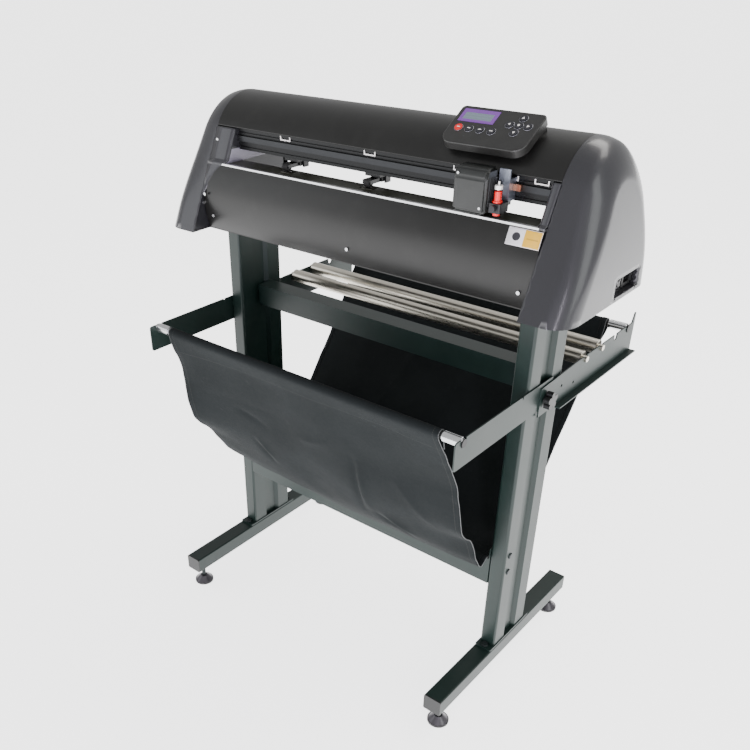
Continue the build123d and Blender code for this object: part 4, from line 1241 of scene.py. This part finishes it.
    def _add_label(self) -> None:
        """Plain two-colour label on the right end of the front cover."""
        cover = frame["nodes"]["front_cover"]
        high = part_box("front_cover")[1]
        wide, tall = self.label_size
        right = high[0] - 1 * MM
        top = high[2] - 1.5 * MM
        columns, count = 3, 12
        rows, maps = [], []
        for r in range(count):
            z = top - tall * r / (count - 1)
            y = front_of(cover, right - wide / 2, z) - 0.25 * MM
            rows.append([
                (right - wide + wide * c / (columns - 1), y, z + 0.1 * MM)
                for c in range(columns)
            ])
            maps.append([(c / (columns - 1), 1 - r / (count - 1)) for c in range(columns)])
        material = PrintedLabel("plain_label").make()
        label = new_piece("front_label", grid_mesh("front_label", rows, maps), "frame", material)
        solid = label.modifiers.new("film", "SOLIDIFY")
        solid.thickness = 0.12 * MM


# ------------------------------------------------------------------------------ drive and carriage
@dataclass
class MediaDrive:
    """Grit rollers, pinch rollers, pulleys and motors."""

    def build(self) -> None:
        """Dress the drive's nodes."""
        self._dress_shaft()
        arm = SatinPlastic("pinch_arm_plastic", Tint.BLACK.value, roughness=0.4).make()
        block = PowderCoat("pinch_block_paint", Tint.BEAM.value, roughness=0.4).make()
        rubber = RubberFinish("pinch_wheel_rubber", Tint.RUBBER.value).make()
        for number in (1, 2, 3):
            paint(block, f"pinch_block_{number}")
            paint(rubber, f"pinch_wheel_{number}")
            paint(arm, f"pinch_arm_{number}")
            for part in ("block", "arm", "wheel"):
                soften(f"pinch_{part}_{number}", 0.35 * MM)
        pulley = TurnedMetal("pulley_metal", Tint.BRIGHT.value, stretch=(900.0, 30.0, 30.0)).make()
        paint(pulley, "driver_pulley", "carriage_pulley_left", "carriage_pulley_right")
        paint(RubberFinish("belt_rubber", Tint.RUBBER.value).make(), "drive_belts")
        self._dress_electrics()

    def _dress_shaft(self) -> None:
        """Bright shaft with dull knurled grit rollers."""
        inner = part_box("platen")[1][0]
        rollers = Zones(
            "grit_roller", srgb(150, 148, 142), 0.34, 1.0,
            ((lambda x, y, z: abs(x) > inner, Tint.BRIGHT.value, 0.25, 1.0),),
            grain=0.5 * MM, depth=0.06 * MM,
        )
        paint(rollers.make(), "grit_shaft")

    def _dress_electrics(self) -> None:
        """Green boards, black motors and a bright power supply."""
        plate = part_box("side_plates")[1][0]
        pod_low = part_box("control_pod")[0]
        electrics = Zones(
            "electrics", srgb(40, 41, 44), 0.4, 0.4,
            (
                (lambda x, y, z: x < -0.3, srgb(170, 172, 175), 0.3, 1.0),
                (
                    lambda x, y, z: x.inside(plate - 3 * MM, plate + 3 * MM) * (z > 0.9),
                    Tint.BOARD.value, 0.45, 0.0,
                ),
                (lambda x, y, z: z > pod_low[2] + 2 * MM, Tint.BOARD.value, 0.45, 0.0),
            ),
        )
        paint(electrics.make(), "inner_electrics")


@dataclass
class Carriage:
    """Blade carriage with its clamp and blade holder."""

    def build(self) -> None:
        """Dress the carriage's nodes."""
        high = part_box("carriage_frame")[1]
        clip = high[0] - 13.2 * MM
        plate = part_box("carriage_cover")[1][0] + 2 * MM
        body = Zones(
            "carriage_metal", srgb(60, 61, 64), 0.35, 0.7,
            (
                (lambda x, y, z: x > clip, Tint.COPPER.value, 0.32, 1.0),
                (lambda x, y, z: x.inside(plate, clip), Tint.GREY_PLATE.value, 0.36, 0.8),
            ),
        )
        paint(body.make(), "carriage_frame")
        soften("carriage_frame", 0.4 * MM)
        self._round_cover()
        self._dress_tool()
        self._add_cover_details()

    def _round_cover(self) -> None:
        """Moulded carriage cover with well rounded edges, in place of the plain box."""
        plastic = SatinPlastic("carriage_cover_plastic", srgb(27, 29, 28), roughness=0.38).make()
        low, high = (Vector(c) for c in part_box("carriage_cover"))
        slope = 5 * MM
        outline = [
            Vector((low.x, low.y, low.z)), Vector((low.x, high.y, low.z)),
            Vector((low.x, high.y, high.z)), Vector((low.x, low.y + slope, high.z)),
            Vector((low.x, low.y, high.z - 3 * slope)),
        ]
        mesh = prism_mesh("carriage_shell", outline, Vector((high.x - low.x, 0, 0)), 4.5 * MM, 5)
        mesh.polygons.foreach_set("use_smooth", [True] * len(mesh.polygons))
        shell = new_piece("carriage_shell", mesh, "carriage", plastic)
        even = shell.modifiers.new("even_shading", "WEIGHTED_NORMAL")
        even.weight = 90
        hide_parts("carriage_cover")

    def _dress_tool(self) -> None:
        """Black clamp with a bright screw; red holder with a white adjuster."""
        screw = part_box("tool_clamp")[0][1] + 6.6 * MM
        clamp = Zones(
            "tool_clamp_metal", srgb(34, 34, 36), 0.4, 0.4,
            ((lambda x, y, z: y < screw, srgb(46, 46, 50), 0.34, 0.5),),
        )
        paint(clamp.make(), "tool_clamp")
        soften("tool_clamp", 0.4 * MM)
        low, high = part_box("blade_holder")
        adjuster = high[2] - 12 * MM
        holder = Zones(
            "blade_holder_metal", Tint.RED.value, 0.30, 0.25,
            (
                (lambda x, y, z: z > adjuster, Tint.WHITE.value, 0.3, 0.4),
                (lambda x, y, z: z < low[2] + 1.2 * MM, Tint.BRIGHT.value, 0.25, 1.0),
            ),
        )
        paint(holder.make(), "blade_holder")
        soften("blade_holder", 0.4 * MM)

    def _add_cover_details(self) -> None:
        """Two recessed screws on the carriage cover and a ribbed grip along its right edge."""
        steel = TurnedMetal("small_screw_steel", Tint.BRIGHT.value).make()
        rib = SatinPlastic("carriage_rib_plastic", srgb(46, 47, 48), roughness=0.4).make()
        low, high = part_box("carriage_cover")
        spots = ((low[0] + 9 * MM, high[2] - 10 * MM), (high[0] - 9 * MM, low[2] + 10 * MM))
        for number, (x, z) in enumerate(spots, 1):
            ring = ring_of(Vector((x, low[1] + 0.2 * MM, z)), 2.2 * MM)
            name = f"carriage_screw_{number}"
            mesh = prism_mesh(name, ring, Vector((0, -1.0 * MM, 0)), 0.25 * MM)
            piece = new_piece(name, mesh, "carriage", steel)
        x0, x1 = high[0] - 0.3 * MM, high[0] + 1.3 * MM
        foot, top = low[2] + 12 * MM, high[2] - 14 * MM
        for number in range(5):
            y = low[1] + (9 + 5 * number) * MM
            back = y + 2 * MM
            side = ((y, foot), (back, foot), (back, top), (y, top))
            corners = [Vector((x0, a, b)) for a, b in side]
            name = f"carriage_rib_{number + 1}"
            mesh = prism_mesh(name, corners, Vector((x1 - x0, 0, 0)), 0.3 * MM)
            piece = new_piece(name, mesh, "carriage", rib)


# ------------------------------------------------------------------------------ control pod
class KeyMark(Enum):
    """What is printed on a key."""

    BAR = "bar"
    UP = 90
    DOWN = -90
    LEFT = 180
    RIGHT = 0
    DIAMOND = "diamond"


@dataclass
class ControlPod:
    """Tilted control pod with its display and keys."""

    mark_size: float = 3.6 * MM
    mark_lift: float = 0.25 * MM

    def build(self) -> None:
        """Dress the pod, its display and its keys, and print the keys."""
        paint(SatinPlastic("pod_plastic", Tint.POD.value, roughness=0.34).make(), "control_pod")
        self._dress_display()
        key = SatinPlastic("key_plastic", Tint.KEY.value, roughness=0.28).make()
        red = SatinPlastic("red_key_plastic", Tint.RED.value, roughness=0.28).make()
        ink = SatinPlastic("key_print", Tint.WHITE.value, roughness=0.5).make()
        rim = TurnedMetal("key_rim", srgb(150, 150, 158), roughness=0.3).make()
        marks = {
            "row_1": KeyMark.BAR, "row_2": KeyMark.BAR, "row_3": KeyMark.BAR, "row_4": KeyMark.BAR,
            "up": KeyMark.UP, "down": KeyMark.DOWN, "left": KeyMark.LEFT, "right": KeyMark.RIGHT,
            "enter": KeyMark.DIAMOND,
        }
        for name, mark in marks.items():
            node = f"button_{name}"
            paint(red if name == "row_1" else key, node)
            soften(node, 0.7 * MM, 3)
            self._print_mark(name, mark, ink)
            self._add_rim(name, rim)

    def _dress_display(self) -> None:
        """Purple bezel with a grey display window."""
        axis = self._axis("key_enter")
        tilt = math.atan2(-axis.y, axis.z)
        mesh = frame["nodes"]["pod_display"].data
        face = max(v.co.dot(axis) for v in mesh.vertices)
        top = [v.co for v in mesh.vertices if v.co.dot(axis) > face - 0.1 * MM]
        corner = (min(p.x for p in top), max(p.y for p in top), max(p.z for p in top))
        glass = DisplayGlass(
            "display_glass", corner, tilt, Tint.BEZEL.value, Tint.GLASS.value,
            (6.5 * MM, 60 * MM), (8 * MM, 23.5 * MM),
        )
        paint(glass.make(), "pod_display")
        soften("pod_display", 0.25 * MM)

    @staticmethod
    def _axis(body: str) -> Vector:
        """Direction that a key faces.

        Args:
            body: The key's body.

        Returns:
            Unit vector out of the pod's face.
        """
        joint = next(j for j in frame["joints"] if j["child"] == body)
        return -Vector(joint["axis"]).normalized()

    def _top(self, name: str) -> tuple[Vector, Vector, Vector, Vector]:
        """Middle of a key's top, with its right, up and outward directions.

        Args:
            name: The key's short name.

        Returns:
            Middle, right, up and outward vectors.
        """
        axis = self._axis(f"key_{name}")
        mesh = frame["nodes"][f"button_{name}"].data
        reach = max(v.co.dot(axis) for v in mesh.vertices)
        top = [v.co for v in mesh.vertices if v.co.dot(axis) > reach - 0.05 * MM]
        middle = sum(top, Vector()) / len(top)
        low_x, high_x = min(p.x for p in top), max(p.x for p in top)
        middle.x = (low_x + high_x) / 2
        right = Vector((1, 0, 0))
        return middle, right, axis.cross(right), axis

    def _print_mark(self, name: str, mark: KeyMark, ink: bpy.types.Material) -> None:
        """Raised print on a key.

        Args:
            name: The key's short name.
            mark: What is printed.
            ink: The print's material.
        """
        middle, right, up, out = self._top(name)
        s = self.mark_size
        if mark is KeyMark.BAR:
            w, h = s * 0.8, s * 0.22
            flat = [(-w, -h), (w, -h), (w, h), (-w, h)]
        elif mark is KeyMark.DIAMOND:
            flat = [(-s * 0.7, 0), (0, -s * 0.7), (s * 0.7, 0), (0, s * 0.7)]
        else:
            turn = math.radians(mark.value)
            flat = [
                (s * 0.8 * math.cos(turn + a), s * 0.8 * math.sin(turn + a))
                for a in (0.0, math.tau / 3, 2 * math.tau / 3)
            ]
        corners = [middle + right * a + up * b - out * 0.05 * MM for a, b in flat]
        mesh = prism_mesh(f"print_{name}", corners, out * self.mark_lift, 0.05 * MM)
        piece = new_piece(f"print_{name}", mesh, f"key_{name}", ink)

    def _add_rim(self, name: str, material: bpy.types.Material) -> None:
        """Thin moulded rim round a key's hole.

        Args:
            name: The key's short name.
            material: The rim's material.
        """
        middle, right, up, out = self._top(name)
        base = middle - out * 1.6 * MM
        inner, outer, tall = 7.05 * MM, 7.9 * MM, 0.45 * MM
        profile = (
            (inner, 0.0), (inner, tall * 0.8), ((inner + outer) / 2, tall),
            (outer, tall * 0.5), (outer, -0.2 * MM), (inner, -0.2 * MM),
        )
        steps = 40
        shape = bmesh.new()
        rings = []
        for k in range(steps):
            a = math.tau * k / steps
            spoke = right * math.cos(a) + up * math.sin(a)
            rings.append([shape.verts.new(base + spoke * r + out * h) for r, h in profile])
        for k in range(steps):
            here, there = rings[k], rings[(k + 1) % steps]
            for i in range(len(profile)):
                j = (i + 1) % len(profile)
                shape.faces.new((here[i], there[i], there[j], here[j]))
        bmesh.ops.recalc_face_normals(shape, faces=shape.faces)
        mesh = bpy.data.meshes.new(f"rim_{name}")
        shape.to_mesh(mesh)
        shape.free()
        mesh.polygons.foreach_set("use_smooth", [True] * len(mesh.polygons))
        piece = new_piece(f"rim_{name}", mesh, "frame", material)


@dataclass
class SocketBay:
    """Mains inlet, switch and data socket low on the right cap."""

    def build(self) -> None:
        """Dress the bay's nodes."""
        panel = TurnedMetal(
            "socket_panel_steel", srgb(150, 150, 152), stretch=(30.0, 400.0, 30.0)).make()
        paint(panel, "socket_panel")
        paint(SatinPlastic("inlet_plastic", Tint.BLACK.value).make(), "mains_inlet")
        rocker = SatinPlastic("rocker_plastic", srgb(24, 24, 24), roughness=0.25).make()
        paint(rocker, "switch_rocker")
        for node in ("mains_inlet", "switch_rocker"):
            soften(node, 0.3 * MM)


# ------------------------------------------------------------------------------ studio
@dataclass(frozen=True)
class Softbox:
    """Rectangular soft light that the camera doesn't see: its power is in watts."""

    name: str
    place: Point
    aim: Point
    size: tuple[float, float]
    power: float
    tint: Colour

    def make(self) -> None:
        """Put the light in the scene."""
        light = bpy.data.lights.new(self.name, "AREA")
        light.shape = "RECTANGLE"
        light.size, light.size_y = self.size
        light.energy = self.power
        light.color = self.tint
        lamp = bpy.data.objects.new(self.name, light)
        lamp.location = self.place
        lamp.visible_camera = False
        towards = Vector(self.aim) - Vector(self.place)
        lamp.rotation_euler = towards.to_track_quat("-Z", "Y").to_euler()
        bpy.context.scene.collection.objects.link(lamp)


@dataclass
class Studio:
    """Plain pale floor, soft lights and the camera."""

    eye: Point = (0.985, -1.366, 1.3995)
    azimuth: float = 41.73
    elevation: float = 33.04
    roll: float = -1.05
    lens: float = 41.14
    shift: tuple[float, float] = (0.0853, 0.1427)
    floor_half: float = 40.0
    floor_glow: float = 2.6
    world_glow: float = 0.7

    def build(self) -> None:
        """Make the floor, the lights, the world and the camera."""
        self._floor()
        self._world()
        lamps = (
            ("right_softbox", (3.0, -0.3, 2.2), (0.3, 0.0, 0.8), (1.2, 2.2), 26, (0.96, 1.0, 0.97)),
            ("top_softbox", (0.6, 1.6, 3.2), (0.0, 0.0, 1.0), (2.4, 0.9), 42, (1.0, 0.97, 0.93)),
            ("front_strip", (2.7, -3.1, 1.55), (0.4, 0.0, 0.9), (0.30, 2.4), 40, (0.94, 0.88, 1.0)),
            ("low_strip", (0.85, -3.4, 0.85), (0.42, 0.0, 0.9), (0.30, 1.7), 46, (0.90, 0.84, 1.0)),
            ("left_fill", (-2.6, -2.4, 1.8), (0.0, 0.0, 0.7), (1.2, 1.8), 12, (0.94, 0.97, 1.0)),
        )
        for lamp in lamps:
            Softbox(*lamp).make()
        self._camera()

    def _floor(self) -> None:
        """Plain pale floor."""
        half = self.floor_half
        mesh = bpy.data.meshes.new("studio_floor")
        corners = [(-half, -half, 0), (half, -half, 0), (half, half, 0), (-half, half, 0)]
        mesh.from_pydata(corners, [], [(0, 1, 2, 3)])
        floor = bpy.data.objects.new("studio_floor", mesh)
        bpy.context.scene.collection.objects.link(floor)
        g = Graph("studio_floor_paint")
        mesh.materials.append(g.dress(
            Base_Color=srgb(240, 240, 240), Roughness=0.9, Emission_Color=(1.0, 1.0, 1.0),
            Emission_Strength=self.floor_glow))

    def _world(self) -> None:
        """Even white surroundings."""
        world = bpy.data.worlds.new("studio_world")
        bpy.context.scene.world = world
        world.use_nodes = True
        back = world.node_tree.nodes["Background"]
        back.inputs["Color"].default_value = (1.0, 1.0, 1.0, 1.0)
        back.inputs["Strength"].default_value = self.world_glow

    def _camera(self) -> None:
        """Camera at the chosen viewing angle."""
        data = bpy.data.cameras.new("camera")
        data.sensor_width = 36.0
        data.lens = self.lens
        data.shift_x, data.shift_y = self.shift
        data.clip_end = 200.0
        az, el, roll = (math.radians(a) for a in (self.azimuth, self.elevation, self.roll))
        back = Vector((math.sin(az) * math.cos(el), -math.cos(az) * math.cos(el), math.sin(el)))
        level = Vector((math.cos(az), math.sin(az), 0.0))
        upright = back.cross(level)
        right = level * math.cos(roll) + upright * math.sin(roll)
        up = back.cross(right)
        turn = Matrix((right, up, back)).transposed().to_4x4()
        camera = bpy.data.objects.new("camera", data)
        camera.matrix_world = Matrix.Translation(self.eye) @ turn
        bpy.context.scene.collection.objects.link(camera)
        bpy.context.scene.camera = camera


def main() -> None:
    """Build every sub-assembly in order."""
    logging.basicConfig(level=logging.INFO, format="%(name)s: %(message)s")
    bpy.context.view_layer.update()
    parts = (
        Stand(), CatchBasket(), MachineBody(), MediaDrive(), Carriage(), ControlPod(), SocketBay(),
        Studio(),
    )
    for part in parts:
        part.build()
        LOG.info("built %s", type(part).__name__)


if __name__ == "__main__":
    main()
